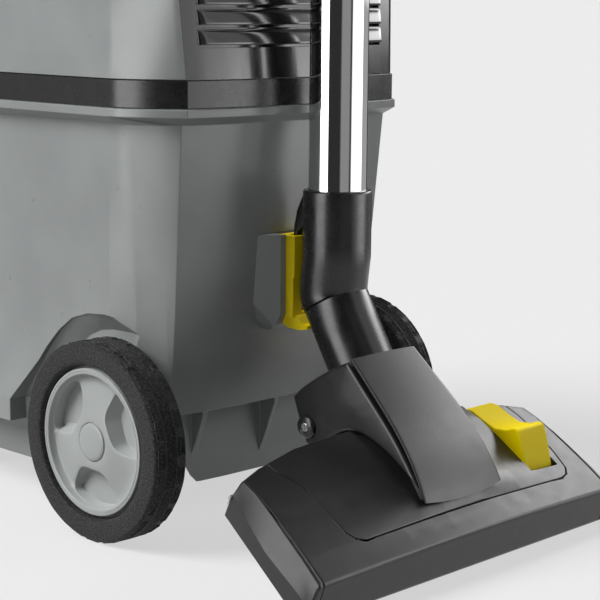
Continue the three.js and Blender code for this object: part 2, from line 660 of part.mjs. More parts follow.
// motor, fan and filters
function motorHousing() {
  const profile = [[motorRadius, deckTop + 0.4], [motorRadius, 300], [40, 306], [40, motorTop],
    [shaftRadius + clear, motorTop], [shaftRadius + clear, motorTop - 4], [36.5, motorTop - 4],
    [36.5, 304], [motorRadius - 3, 297.5], [motorRadius - 3, deckTop + 0.4]];
  return turned('z', profile, [0, -10]);
}
add('motor_housing', motorHousing(), darkPlastic);
const sealRing = ring('z', motorRadius + 5, motorRadius + clear, deckTop + clear, deckTop + 8, [0, -10]);
add('motor_seal', sealRing, rubber);
const rotorProfile = [[0, deckTop + 6], [shaftRadius, deckTop + 6], [shaftRadius, 308], [28, 308], [28, 330],
  [shaftRadius, 330], [shaftRadius, motorTop + 4], [0, motorTop + 4]];
add('rotor', turned('z', rotorProfile, [0, -10]), steel);
function impeller() {
  let body = ring('z', 50, shaftRadius + clear, 293, 295, [0, -10]);
  body = body.add(ring('z', 9, shaftRadius + clear, 282, 294, [0, -10]));
  const blades = 6;
  for (let i = 0; i < blades; i++) {
    const blade = box([8, -0.8, 283], [49, 0.8, 294]).rotate([0, 0, (i * 360) / blades]);
    body = body.add(blade.translate([0, -10, 0]));
  }
  return body;
}
add('impeller', impeller(), steel);
add('exhaust_filter', box([-60, -170, deckTop + clear], [60, -154, 350]), fleece);

const glandFace = bandHalf - 2.2;
function cableGland() {
  const profile = [[4, glandFace - 12], [8, glandFace - 12], [8, glandFace + 0.6], [11.5, glandFace + 0.6],
    [11, glandFace + 4], [7, glandFace + 7], [6, glandFace + 15], [4, glandFace + 15]];
  return turned('x', profile, [glandAhead, glandHeight], smallRound);
}
add('cable_gland', cableGland(), blackPlastic);

// ---------------------------------------------------------------- latches

function latch() {
  const inner = bandHalf + rimProud + 0.5;
  const profile = [[inner + 3.6, latchPivot - 16], [inner + 5.6, latchPivot - 16], [inner + 5, bandTop - 3],
    [inner, bandTop - 3], [inner, latchPivot + 7], [latchPin - 4, latchPivot + 4], [latchPin - 4, latchPivot - 4],
    [latchPin + 3, latchPivot - 5]];
  const body = alongY(profile, latchAhead - latchHalf, latchAhead + latchHalf);
  const reach = latchHalf + 5.2;
  return body.add(rod('y', pinRadius, latchAhead - reach, latchAhead + reach, [latchPin, latchPivot]));
}
add('latch_left', mirrored(latch()), blackPlastic);
add('latch_right', latch(), blackPlastic);

// ---------------------------------------------------------------- suction tube and hand piece

const wandAxis = [0, -tubeBack];

// Points straight up the tube's axis, round a bend towards the front, and straight on.
function bentPath(start, bendAt, radius, degrees, tail) {
  const turn = radians(degrees);
  const points = [new THREE.Vector3(0, -tubeBack, start)];
  const bendSteps = 5;
  for (let i = 0; i <= bendSteps; i++) {
    const angle = (turn * i) / bendSteps;
    points.push(new THREE.Vector3(0, -tubeBack + radius * (1 - Math.cos(angle)), bendAt + radius * Math.sin(angle)));
  }
  const last = points[points.length - 1];
  points.push(new THREE.Vector3(0, last.y + Math.sin(turn) * tail, last.z + Math.cos(turn) * tail));
  return points;
}

// A round bar through points in the YZ plane: a ring of facets at each point, mitred there.
function pipe(points, radius, facets = round) {
  const rings = points.map((point, i) => {
    const before = points[Math.max(i - 1, 0)];
    const after = points[Math.min(i + 1, points.length - 1)];
    const coming = point.clone().sub(before).normalize();
    const going = after.clone().sub(point).normalize();
    const tangent = coming.add(going).normalize();
    const stretch = i > 0 && i < points.length - 1 ? 1 / going.dot(tangent) : 1;
    return { point, tangent, stretch };
  });
  const circle = new THREE.Shape().absarc(0, 0, radius, 0, 2 * Math.PI, false);
  const options = { depth: points.length - 1, steps: points.length - 1, curveSegments: facets / 2, bevelEnabled: false };
  const across = new THREE.Vector3(1, 0, 0);
  return warp(new THREE.ExtrudeGeometry(circle, options), (x, y, z) => {
    const { point, tangent, stretch } = rings[Math.round(z)];
    const up = tangent.clone().cross(across).multiplyScalar(stretch);
    return point.clone().addScaledVector(across, x).addScaledVector(up, y).toArray();
  });
}

const elbowDown = new THREE.Vector3(0, -Math.sin(radians(elbowTurn)), -Math.cos(radians(elbowTurn)));
const kink = new THREE.Vector3(0, elbowShift - tubeBack, kinkHeight);
const swivelCentre = kink.clone().addScaledVector(elbowDown, elbowRadius * Math.tan(radians(elbowTurn / 2)));
const elbowPath = [new THREE.Vector3(0, -tubeBack, elbowTop), new THREE.Vector3(0, -tubeBack, tubeFoot), kink, swivelCentre];

// The elbow that holds the tube's foot, with the hook that hangs in the parking clip.
function upperElbow() {
  const stop = tubeFoot - clear;
  let body = pipe(elbowPath, elbowRadius);
  const rib = alongX([[-hookTip, hookFoot], [-hookTip, 177], [-187.6, 181], [-188, 188], [-190.6, 198], [-197, 209],
    [-tubeBack + elbowRadius - 2, 209], [-tubeBack + elbowRadius - 2, 190], [-hookBack, 184],
    [-hookBack, hookFoot]], -hookHalf, hookHalf);
  const stem = box([-hookStemHalf, -tubeBack + elbowRadius - 3, 150], [hookStemHalf, -hookTip - 2, 196]);
  body = body.add(rib).add(stem);
  const beyond = swivelCentre.clone().addScaledVector(elbowDown, 5);
  body = body.subtract(pipe([new THREE.Vector3(0, -tubeBack, elbowTop + 5), elbowPath[1], kink, beyond], elbowBore));
  body = body.subtract(rod('z', tubeRadius + clear, stop, elbowTop + 5, wandAxis, round));
  const spigotRoom = [swivelCentre.clone().addScaledVector(elbowDown, -spigotLength - clear), beyond];
  return body.subtract(pipe(spigotRoom, spigotRadius + clear));
}
const spigotLength = 7;
const spigotRadius = 18;
add('upper_elbow', upperElbow(), blackPlastic);

const alongElbow = (distance) => swivelCentre.clone().addScaledVector(elbowDown, distance);
function lowerElbow() {
  const skirt = pipe([alongElbow(0.4), alongElbow(lowerElbowLength)], elbowRadius - 0.4);
  const spigot = pipe([alongElbow(-spigotLength), alongElbow(2)], spigotRadius);
  return skirt.add(spigot).subtract(pipe([alongElbow(-20), alongElbow(lowerElbowLength + 5)], elbowBore));
}
add('lower_elbow', lowerElbow(), blackPlastic);

const bellRadius = tubeRadius + clear + tubeWall;
const lowerTop = tubeFoot + tubeLength;
const bore = tubeRadius - tubeWall;
const lowerTubeProfile = [[bore, tubeFoot], [tubeRadius, tubeFoot], [tubeRadius, lowerTop - tubeSeat - 6],
  [bellRadius, lowerTop - tubeSeat], [bellRadius, lowerTop], [tubeRadius + clear, lowerTop],
  [tubeRadius + clear, lowerTop - tubeSeat], [bore, lowerTop - tubeSeat - 6]];
add('lower_tube', turned('z', lowerTubeProfile, wandAxis), chrome);
const upperFoot = lowerTop - tubeSeat + clear;
const upperTop = upperFoot + tubeLength;
add('upper_tube', ring('z', tubeRadius, bore, upperFoot, upperTop, wandAxis), chrome);
const sleeveProfile = [[bellRadius + clear, lowerTop - 34], [bellRadius + 3, lowerTop - 34],
  [bellRadius + 3.6, lowerTop + 4], [tubeRadius + 2, lowerTop + 16], [tubeRadius + clear, lowerTop + 16],
  [tubeRadius + clear, lowerTop + clear], [bellRadius + clear, lowerTop + clear]];
add('tube_sleeve', turned('z', sleeveProfile, wandAxis), blackPlastic);

// Hand piece: a socket over the tube, a bend, and a grip that ends in the hose's socket.
const gripFoot = upperTop - tubeSeat;
const gripBendAt = upperTop + 34;
const gripPath = bentPath(gripFoot, gripBendAt, gripBend, gripTurn, gripLength);
const gripEnd = gripPath[gripPath.length - 1];
const gripUp = new THREE.Vector3(0, Math.sin(radians(gripTurn)), Math.cos(radians(gripTurn)));
const alongGrip = (distance) => gripEnd.clone().addScaledVector(gripUp, distance);
const sliderLength = 24;
const sliderFoot = -84; // along the grip, from its end
const sliderTravel = 12;
function handPiece() {
  let body = pipe([gripPath[0], new THREE.Vector3(0, -tubeBack, upperTop + 8)], sleeveRadius);
  body = body.add(pipe(gripPath, gripRadius));
  body = body.add(pipe([alongGrip(-34), alongGrip(0)], gripRadius + 2.5));
  body = body.subtract(rod('z', tubeRadius + clear, gripFoot - 5, upperTop + clear, wandAxis, round));
  body = body.subtract(pipe([new THREE.Vector3(0, -tubeBack, gripFoot - 5), ...gripPath.slice(1, -1),
    alongGrip(5)], elbowBore));
  body = body.subtract(pipe([alongGrip(-28), alongGrip(5)], gripRadius - 1.5));
  const portFrom = alongGrip(sliderFoot + 6);
  const portTo = alongGrip(sliderFoot + 12);
  const port = pipe([portFrom, portTo], 12).translate([0, -14, 8]);
  return body.subtract(port.intersect(box([-4, -tubeBack - 60, 0], [4, 200, 3000])));
}
add('hand_piece', handPiece(), blackPlastic);
const sliderBody = pipe([alongGrip(sliderFoot), alongGrip(sliderFoot + sliderLength)], gripRadius + 2.6)
  .subtract(pipe([alongGrip(sliderFoot - 5), alongGrip(sliderFoot + sliderLength + 5)], gripRadius + clear));
add('air_slider', sliderBody, darkPlastic);

// ---------------------------------------------------------------- nozzle neck

// Half of the neck's width at a place seen from the side.
const neckHalf = (y, z) => 25.5 + 0.077 * (116.5 - z) + 0.065 * Math.max(0, -y - 256);
const unitBar = (points) => extrude(shapeOf(points), 2, 8).translate(0, 0, -1);
const neckBar = (points, thinner) =>
  warp(unitBar(points), (y, z, x) => [x * (neckHalf(y, z) - thinner), y, z]);

// Its upper edge, from the elbow to the tip, as [y, z]; the cover lies along it.
const neckBack = [[-255.5, 117], [-267.5, 109.5], [-278.5, 100], [-290.5, 87], [-302.5, 72], [-313, 56.5], [-321.9, 42.8]];
const sunk = (points, depth) => points.map(([y, z]) => {
  const out = new THREE.Vector2(-1, 1.15).normalize();
  return [y - out.x * depth, z - out.y * depth];
});
const neckUnder = [[-309, 56], [-299, 64.5], [-288, 70.6], [-276, 74.2], [-258, 75.6], [-243, 71.5]];
const neckRear = [[-233, 59.5], [-224, 58.2], [-216, 60.5], [-210.8, 67], [-209.3, 77], [-210.8, 88.4], [-217.6, 95.5],
  [-229.2, 103.5], [-242, 111]];

// The tip's edge is bowed.
const tipTrim = both(alongZ([[9, -323], [37, -319], [60, -319], [60, -340], [9, -340]], 0, 60));

function neck() {
  const outer = [...sunk(neckBack, coverDepth + clear), ...neckUnder, ...neckRear];
  let body = neckBar(outer, 0).subtract(tipTrim).subtract(box([-60, -340, 0], [60, -319.5, 60]));
  const room = [[-259, 107.5], [-270, 99], [-281, 87.5], [-287, 78], [-276, 77.5], [-256, 79.2], [-240, 50],
    [-214, 50], [-213.2, 70], [-214.6, 86], [-220, 92.5], [-232, 101], [-246, 107.5]];
  body = body.subtract(neckBar(room, neckWall));
  body = body.subtract(pipe([alongElbow(14), alongElbow(lowerElbowLength + 0.4)], elbowRadius - 0.4 + clear));
  return body.subtract(rod('x', 3.5 + clear, -60, 60, [-pivotBack, pivotHeight]));
}
add('neck', neck(), darkPlastic);

const coverStrip = [...neckBack, ...sunk(neckBack, coverDepth).reverse()];
const neckCover = neckBar(coverStrip, -0.6).subtract(tipTrim);
const elbowRoom = pipe([alongElbow(0), alongElbow(lowerElbowLength + 5)], elbowRadius - 0.4 + clear);
add('neck_cover', neckCover.subtract(elbowRoom), darkPlastic);

function pivotScrew() {
  const face = neckHalf(-pivotBack, pivotHeight - 8) + clear;
  const profile = [[0, trunnionHalf - 4], [3.5, trunnionHalf - 4], [3.5, face], [7.2, face], [6.6, face + 2.2],
    [3.2, face + 3], [2.6, face + 2.2], [0, face + 2.2]];
  return turned('x', profile, [-pivotBack, pivotHeight], smallRound);
}
add('pivot_screw_left', mirrored(pivotScrew()), blackPlastic);
add('pivot_screw_right', pivotScrew(), blackPlastic);

// ---------------------------------------------------------------- floor nozzle

const nozzle = new THREE.Group();
nozzle.position.set(0, -pivotBack, pivotHeight);
nozzle.rotation.x = radians(nozzlePitch);
group.add(nozzle);

// The nozzle's outside: its side profile, as [ahead, height], spread along X and shaped there.
const sections = [-1, -0.97, -0.85, -0.6, -0.4, -0.26, -0.13, 0, 0.13, 0.26, 0.4, 0.6, 0.85, 0.97, 1];
const nozzleProfile = [[nozzleRear + 3, nozzleSole], [nozzleFrontFoot - 0.6, nozzleSole],
  [nozzleFrontFoot, nozzleSole + 3.5], [nozzleFront, nozzleTop - 1.2], [nozzleFront - 1.6, nozzleTop],
  [100, nozzleTop + 1.2], [80, nozzleTop + 1.6], [60, nozzleTop + 1.6], [42, nozzleTop + 0.8],
  [nozzleRear + 1.5, nozzleTop - 1], [nozzleRear, nozzleTop - 5]];
const endDrop = 12; // height that the end caps' slope takes away
function nozzleOutside(sink) {
  const geometry = extrude(shapeOf(nozzleProfile), sections.length - 1, sections.length - 1);
  return warp(geometry, (ahead, height, index) => {
    const share = sections[Math.round(index)];
    const bulge = endBulge * Math.max(0, 1 - ((ahead - 80) / 32) ** 2) * (Math.abs(share) === 1 ? 1 : 0);
    const half = nozzleHalf + 4 + nozzleFlare * (ahead - 40) + bulge;
    const x = share * half;
    const top = Math.max(0, (height - nozzleTop + 6) / 6);
    const crown = nozzleCrown * (1 - share * share);
    const hump = nozzleHump * Math.exp(-((x / 58) ** 2)) * Math.max(0, 1 - ((ahead - 66) / 52) ** 2);
    const sweep = 14 * Math.max(0, Math.abs(share) - 0.45) ** 2 * 3.3 * Math.max(0, 1 - (ahead - nozzleRear) / 60);
    const atEnd = Math.abs(share) === 1 ? Math.min(height, nozzleTop - endDrop) : height;
    const rise = Math.abs(share) === 1 ? 0 : Math.min(1, top) * (crown + hump);
    return [x, -(ahead + sweep) - sink / 2, atEnd + rise - sink];
  });
}
const outside = nozzleOutside(0);
const capEdge = nozzleHalf - 3.5;
const capPlane = (x) => [[x, 0], [x + seamFlare * 160, -160], [220, -160], [220, 0]];
const capCutter = alongZ(capPlane(capEdge), -40, 80);
const bodyCutter = alongZ(capPlane(capEdge - clear), -40, 80);

// outline of the cover plate, seen from above: [x, ahead]
const plateOutline = [[-102, 20], [-102, 40], [-95.5, 55], [-93.5, 78], [-93, 93], [-90, 98], [-84, 101],
  [96, 101], [102, 99.5], [106.5, 95], [109.5, 80], [111, 55], [111, 40], [111, 20]];
const platePrism = (grow) => {
  const points = plateOutline.map(([x, ahead]) => [x + Math.sign(x) * grow, -(ahead + (ahead > 90 ? grow : 0))]);
  return alongZ(points, 9 - grow, 60);
};
const pedalRoom = box([pedalLeft - 0.8, -91.2, -4], [pedalRight + 0.8, -22, 50]);

function nozzleBody() {
  const room = [[-31, nozzleSole - 1], [-116, nozzleSole - 1], [-113.5, 13.5], [-70, 15], [-33, 13.5]];
  let body = outside.subtract(both(bodyCutter));
  body = body.subtract(alongX(room, -capEdge + 4, capEdge - 4));
  body = body.subtract(platePrism(clear).subtract(nozzleOutside(coverDepth + clear)));
  const arm = alongX([[3, -8.6], [-30, nozzleSole + 0.5], [-36, 15], [-30, 17.5], [-1, 8]], -trunnionHalf, trunnionHalf);
  body = body.add(arm).add(rod('x', trunnionRadius, -trunnionHalf, trunnionHalf, [0, 0], round));
  const duct = [[-34, -1], [-34, 12], [-8, 13], [14, 12], [14, 0], [-6, -5]];
  body = body.subtract(alongX(duct, -trunnionHalf + 4, trunnionHalf - 4));
  body = body.subtract(rod('x', 3.5 + clear, -60, 60, [0, 0]));
  body = body.subtract(pedalRoom);
  body = body.add(box([pedalLeft - 4, -52, 4.6], [pedalLeft - 0.8, -44, 15]));
  body = body.add(box([pedalRight + 0.8, -52, 4.6], [pedalRight + 4, -44, 15]));
  body = body.subtract(rod('x', 1.5 + clear, pedalLeft - 8, pedalRight + 8, [-48, 9.5]));
  return body;
}
add('nozzle_body', nozzleBody(), darkPlastic, nozzle);

const neckSlot = box([-trunnionHalf - 8, -34, -10], [trunnionHalf + 8, 5, 60]);
const plate = outside.intersect(platePrism(0)).subtract(nozzleOutside(coverDepth)).subtract(pedalRoom);
add('nozzle_cover', plate.subtract(neckSlot), darkPlastic, nozzle);

const endCap = outside.intersect(capCutter);
add('end_cap_left', mirrored(endCap), darkPlastic, nozzle);
add('end_cap_right', endCap, darkPlastic, nozzle);

// sole plate with the mouth, the slots of the brushes and the rollers' windows
const soleFoot = nozzleSole + 0.2;
const soleTop = soleFoot + 2.4;
const mouthRear = 68;
const mouthFront = 84;
const brushRows = [56, 96]; // middles of the brush strips
const brushHalf = 108;
const brushThick = 5;
function solePlate() {
  let body = box([-capEdge + 4.4, -115, soleFoot], [capEdge - 4.4, -31.8, soleTop]);
  body = body.subtract(box([-110, -mouthFront, -20], [110, -mouthRear, 20]));
  for (const row of brushRows) {
    const side = brushThick / 2 + 0.8;
    body = body.subtract(box([-brushHalf - 0.8, -row - side, -20], [brushHalf + 0.8, -row + side, 20]));
  }
  const axleBlock = box([74, -45, soleTop - 0.5], [77, -35, 4]);
  const outerBlock = box([88, -45, soleTop - 0.5], [91, -35, 4]);
  body = body.subtract(both(box([77, -48.5, -20], [88, -32, 20])));
  body = body.add(both(axleBlock.add(outerBlock)));
  return body.add(both(rod('x', 1.6, 75, 90, [-40, rollerHeight])));
}
const rollerRadius = 6;
const rollerHeight = nozzleSole + rollerRadius - 1.2;
add('sole_plate', solePlate(), steel, nozzle);
const roller = turned('x', [[1.6 + clear, 77.5], [rollerRadius, 77.5], [rollerRadius, 87.5], [1.6 + clear, 87.5]],
  [-40, rollerHeight]);
add('roller_left', mirrored(roller), rubber, nozzle);
add('roller_right', roller, rubber, nozzle);

// brush carrier with its two strips, moved by the pedal
const carrierFoot = soleTop + 4.8;
const carrierTop = carrierFoot + 2.2;
function brushCarrier() {
  const [rear, front] = brushRows;
  const rail = (row) => box([-brushHalf, -row - 3.4, carrierFoot], [brushHalf, -row + 3.4, carrierTop]);
  let body = rail(rear).add(rail(front));
  for (const x of [-104, -40, 40, 66]) {
    body = body.add(box([x - 3, -front, carrierFoot], [x + 3, -rear, carrierTop]));
  }
  return body;
}
add('brush_carrier', brushCarrier(), darkPlastic, nozzle);
const strip = (row) => box([-brushHalf, -row - brushThick / 2, soleFoot + 0.3],
  [brushHalf, -row + brushThick / 2, carrierFoot - clear]);
add('brush_strip_rear', strip(brushRows[0]), bristle, nozzle);
add('brush_strip_front', strip(brushRows[1]), bristle, nozzle);

// foot pedal: a rocker that shifts the brush carrier
function pedal() {
  const profile = [[-30, 16.5], [-31, 20], [-36, 22.4], [-46, 23.6], [-55, 25.5], [-62, 31], [-66, 36.4],
    [-69.5, 37.2], [-75, 33], [-82, 26.5], [-89.4, 19.4], [-89, 17], [-60, 14], [-50, 6.5], [-46, 6.5], [-42, 14]];
  const body = alongX(profile, pedalLeft, pedalRight);
  return body.add(rod('x', 1.5, pedalLeft - 3.6, pedalRight + 3.6, [-48, 9.5]));
}
add('pedal', pedal(), yellowPlastic, nozzle);

// ---------------------------------------------------------------- the frame's origin

// The origin lies below the middle of the whole object, on the floor.
group.updateMatrixWorld(true);
const extent = new THREE.Box3().setFromObject(group, true);
const middle = extent.getCenter(new THREE.Vector3());
group.position.set(-middle.x, -middle.y, -extent.min.z);

export default group;
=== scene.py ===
"""Looks of a tub vacuum cleaner for commercial use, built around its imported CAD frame."""

import json
import math

import bmesh
import bpy
import numpy as np
from bpy.props import FloatProperty, FloatVectorProperty, IntProperty
from mathutils import Matrix, Vector
from mathutils.geometry import delaunay_2d_cdt

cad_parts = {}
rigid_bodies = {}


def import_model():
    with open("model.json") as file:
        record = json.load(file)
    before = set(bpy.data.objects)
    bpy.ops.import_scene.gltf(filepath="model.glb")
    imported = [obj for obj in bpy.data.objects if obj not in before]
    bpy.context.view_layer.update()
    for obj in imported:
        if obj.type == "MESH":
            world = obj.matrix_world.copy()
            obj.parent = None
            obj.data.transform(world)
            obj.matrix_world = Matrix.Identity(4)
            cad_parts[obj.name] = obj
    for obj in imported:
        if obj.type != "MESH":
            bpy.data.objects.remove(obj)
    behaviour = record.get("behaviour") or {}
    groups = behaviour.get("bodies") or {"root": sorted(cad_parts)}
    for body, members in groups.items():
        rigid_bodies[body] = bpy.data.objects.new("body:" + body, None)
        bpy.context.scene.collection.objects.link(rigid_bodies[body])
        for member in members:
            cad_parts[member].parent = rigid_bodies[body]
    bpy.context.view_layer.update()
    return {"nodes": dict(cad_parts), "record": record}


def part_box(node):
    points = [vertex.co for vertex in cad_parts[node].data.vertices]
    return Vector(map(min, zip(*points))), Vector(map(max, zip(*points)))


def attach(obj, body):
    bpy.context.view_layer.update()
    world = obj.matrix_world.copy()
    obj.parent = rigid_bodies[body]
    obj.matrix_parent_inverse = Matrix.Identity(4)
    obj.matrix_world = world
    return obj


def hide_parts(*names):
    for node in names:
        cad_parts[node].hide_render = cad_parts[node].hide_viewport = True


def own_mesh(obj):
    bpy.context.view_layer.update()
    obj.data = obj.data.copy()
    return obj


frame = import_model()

bl_info = {
    "name": "Tub vacuum cleaner",
    "version": (1, 0, 0),
    "blender": (4, 5, 0),
    "location": "3D View > Sidebar > Vacuum",
    "description": "Dresses the construction model of a tub vacuum cleaner with its parked floor nozzle",
    "category": "Add Mesh",
}

MM = 0.001
TAU = 2 * math.pi
NODES = frame["nodes"]
BODY_OF = {
    node: body
    for body, members in frame["record"]["behaviour"]["bodies"].items()
    for node in members
}
SLOT_OF = {row["node"]: row["material_slot"] for row in frame["record"]["subparts"]}
SIDES = (("left", -1), ("right", 1))

# The slant of the shells' rear corners, then their swelling in mm.
CORNER_TURN = math.radians(28.2)
CORNER_BULGE = 4.6

# Place of the tub's own zero along Y in mm: so far in front of the rear axle.
AXLE_BACK = 133.6
TYRE_LOW, TYRE_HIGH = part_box("tyre_left")
BODY_Y = TYRE_LOW.y / MM / 2 + TYRE_HIGH.y / MM / 2 + AXLE_BACK


# ---------------------------------------------------------------- nodes


class Value:
    """A socket of a node tree that takes part in Python expressions."""

    def __init__(self, nodes, socket):
        self.nodes = nodes
        self.socket = socket

    def __add__(self, other):
        return self.nodes.math("ADD", self, other)

    def __sub__(self, other):
        return self.nodes.math("SUBTRACT", self, other)

    def __rsub__(self, other):
        return self.nodes.math("SUBTRACT", other, self)

    def __mul__(self, other):
        return self.nodes.math("MULTIPLY", self, other)

    def __rtruediv__(self, other):
        return self.nodes.math("DIVIDE", other, self)

    def between(self, low, high):
        """0 below low, 1 above high and a straight line between them."""
        inputs = {"Value": self, "From Min": low, "From Max": high}
        return self.nodes.make("ShaderNodeMapRange", {"clamp": True}, inputs)

    __radd__ = __add__
    __rmul__ = __mul__


class Nodes:
    """A node tree that is built one node after another."""

    def __init__(self, tree):
        self.tree = tree

    def make(self, kind, settings=None, inputs=None, output=0):
        """Adds a node, sets what it is, then its sockets, and returns one of its outputs."""
        node = self.tree.nodes.new(kind)
        for key, value in (settings or {}).items():
            setattr(node, key, value)
        for key, value in (inputs or {}).items():
            self.feed(node, key, value)
        return Value(self, node.outputs[output])

    def feed(self, node, key, value):
        """Links a value to a node's socket, or sets a plain number, colour or vector there."""
        if isinstance(value, Value):
            self.tree.links.new(value.socket, node.inputs[key])
        else:
            node.inputs[key].default_value = value

    def math(self, operation, first, second):
        return self.make("ShaderNodeMath", {"operation": operation}, {0: first, 1: second})

    def seen(self):
        """1 for rays that see the backdrop: straight from the camera, mirrored or through glass."""
        rays = [f"Is {kind} Ray" for kind in ("Camera", "Glossy", "Transmission")]
        camera, mirrored, clear = (self.make("ShaderNodeLightPath", output=ray) for ray in rays)
        return self.math("MAXIMUM", self.math("MAXIMUM", camera, mirrored), clear)


class Finish(Nodes):
    """One material: a Principled shader whose sockets are set or linked by name."""

    def __init__(self, name, **fixed):
        self.material = bpy.data.materials.new(name)
        self.material.use_nodes = True
        super().__init__(self.material.node_tree)
        self.shader = self.tree.nodes["Principled BSDF"]
        for socket, value in fixed.items():
            self.feed(self.shader, socket.replace("_", " ").title().replace("Ior", "IOR"), value)

    def place(self):
        return self.make("ShaderNodeTexCoord", output="Object")

    def axis(self, name):
        return self.make("ShaderNodeSeparateXYZ", inputs={0: self.place()}, output=name)

    def noise(self, size_mm, detail=2.0, roughness=0.5, stretch=None):
        """Noise from 0 to 1 whose blotches are about size_mm across."""
        place = self.place()
        if stretch:
            place = self.make("ShaderNodeMapping", inputs={"Vector": place, "Scale": stretch})
        inputs = {"Vector": place, "Scale": 1 / (size_mm * MM), "Detail": detail, "Roughness": roughness}
        return self.make("ShaderNodeTexNoise", inputs=inputs)

    def mix(self, factor, first, second):
        """A colour between two, each of them a value or a plain red, green and blue."""
        first, second = ((*c, 1) if isinstance(c, tuple) else c for c in (first, second))
        return self.make("ShaderNodeMix", {"data_type": "RGBA"}, {0: factor, 6: first, 7: second}, output=2)

    def edges(self, radius_mm):
        """1 on convex and concave edges, 0 on flat ground."""
        rounded = self.make("ShaderNodeBevel", {"samples": 4}, {"Radius": radius_mm * MM})
        normal = self.make("ShaderNodeNewGeometry", output="Normal")
        dot = self.make("ShaderNodeVectorMath", {"operation": "DOT_PRODUCT"}, {0: rounded, 1: normal}, output="Value")
        return (1 - dot).between(0.02, 0.25)

    def bump(self, height, depth_mm):
        inputs = {"Height": height, "Distance": depth_mm * MM}
        self.link("Normal", self.make("ShaderNodeBump", inputs=inputs))

    def link(self, socket, value):
        self.feed(self.shader, socket, value)

    def color(self, value):
        self.link("Base Color", value)


def shade(color, factor):
    return tuple(min(1.0, channel * factor) for channel in color)


def moulded(name, color, roughness, grain_mm=0.35, grain_depth=0.02, speckle=0.12, cloud=0.08, wear=0.35, shine=0.5):
    """Moulded plastic: fine grain, faint clouds, and arrises that are rubbed a little lighter."""
    finish = Finish(name, roughness=roughness, specular_ior_level=shine)
    grain = finish.noise(grain_mm, 3.0, 0.6)
    clouds = finish.noise(45)
    smudges = finish.noise(9, 4.0, 0.6)
    body = finish.mix(clouds.between(0.3, 0.7), shade(color, 1 - cloud), shade(color, 1 + cloud))
    body = finish.mix(grain.between(0.62, 0.75) * speckle, body, shade(color, 2.4))
    if wear:
        rubbed = finish.edges(0.9) * smudges.between(0.35, 0.65) * wear
        body = finish.mix(rubbed, body, tuple(min(1.0, c * 1.5 + 0.05) for c in color))
    finish.color(body)
    finish.link("Roughness", smudges.between(0.2, 0.8) * 0.12 + (roughness - 0.06) + grain * 0.03)
    finish.bump(grain, grain_depth)
    return finish.material


def patterned(name, noise, shades, rough, part=(), relief_mm=0.0, **fixed):
    """Finish whose colour, roughness and relief follow one noise; part is its range that counts for roughness."""
    finish = Finish(name, **fixed)
    pattern = finish.noise(*noise)
    finish.color(finish.mix(pattern, *shades))
    spread, least = rough
    finish.link("Roughness", (pattern.between(*part) if part else pattern) * spread + least)
    if relief_mm:
        finish.bump(pattern, relief_mm)
    return finish.material


def gloss_black():
    """Polished black plastic with faint upright rub marks."""
    finish = Finish("gloss_black", roughness=0.16, coat_weight=0.4, coat_roughness=0.05)
    rubs = finish.noise(0.8, 3.0, 0.6, stretch=(1, 1, 0.02))
    smudges = finish.noise(14, 3.0)
    finish.color(finish.mix(smudges, (0.008, 0.008, 0.008), (0.014, 0.014, 0.0145)))
    finish.link("Roughness", rubs.between(0.4, 0.75) * 0.1 + smudges * 0.06 + 0.12)
    finish.bump(rubs, 0.004)
    return finish.material


def tyre_rubber():
    """Soft black rubber: a coarse matte grain, and pale scuffs where the shoulder rubs."""
    finish = Finish("tyre_rubber", roughness=0.7, specular_ior_level=0.22)
    grain = finish.noise(1.1, 4.0, 0.75)
    scuffs = finish.noise(1.6, 5.0, 0.7)
    body = finish.mix(grain.between(0.44, 0.68) * 0.6, (0.01, 0.01, 0.01), (0.1, 0.1, 0.1))
    worn = finish.edges(1.0) * scuffs.between(0.52, 0.66)
    finish.color(finish.mix(worn * 0.75, body, (0.3, 0.3, 0.3)))
    finish.link("Roughness", grain * 0.25 + 0.5)
    finish.bump(grain, 0.12)
    return finish.material


MOULDED = {
    "grey_plastic": {
        "color": (0.235, 0.247, 0.245), "roughness": 0.3, "grain_mm": 0.7, "grain_depth": 0.012, "speckle": 0.05
    },
    "pale_plastic": {
        "color": (0.31, 0.325, 0.32), "roughness": 0.36, "grain_mm": 0.7, "grain_depth": 0.01, "speckle": 0.05
    },
    "black_plastic": {
        "color": (0.007, 0.007, 0.0073), "roughness": 0.26, "grain_mm": 0.7, "speckle": 0.15, "wear": 0.3
    },
    "dark_plastic": {
        "color": (0.009, 0.009, 0.0093), "roughness": 0.33, "grain_mm": 0.75, "grain_depth": 0.07, "speckle": 0.5
    },
    "yellow_plastic": {
        "color": (1.0, 0.76, 0.0), "roughness": 0.5, "grain_depth": 0.006, "speckle": 0.0, "cloud": 0.03,
        "wear": 0.0, "shine": 0.2,
    },
    "rubber": {
        "color": (0.018, 0.018, 0.018), "roughness": 0.7, "grain_depth": 0.03, "speckle": 0.1, "wear": 0.0
    },
}
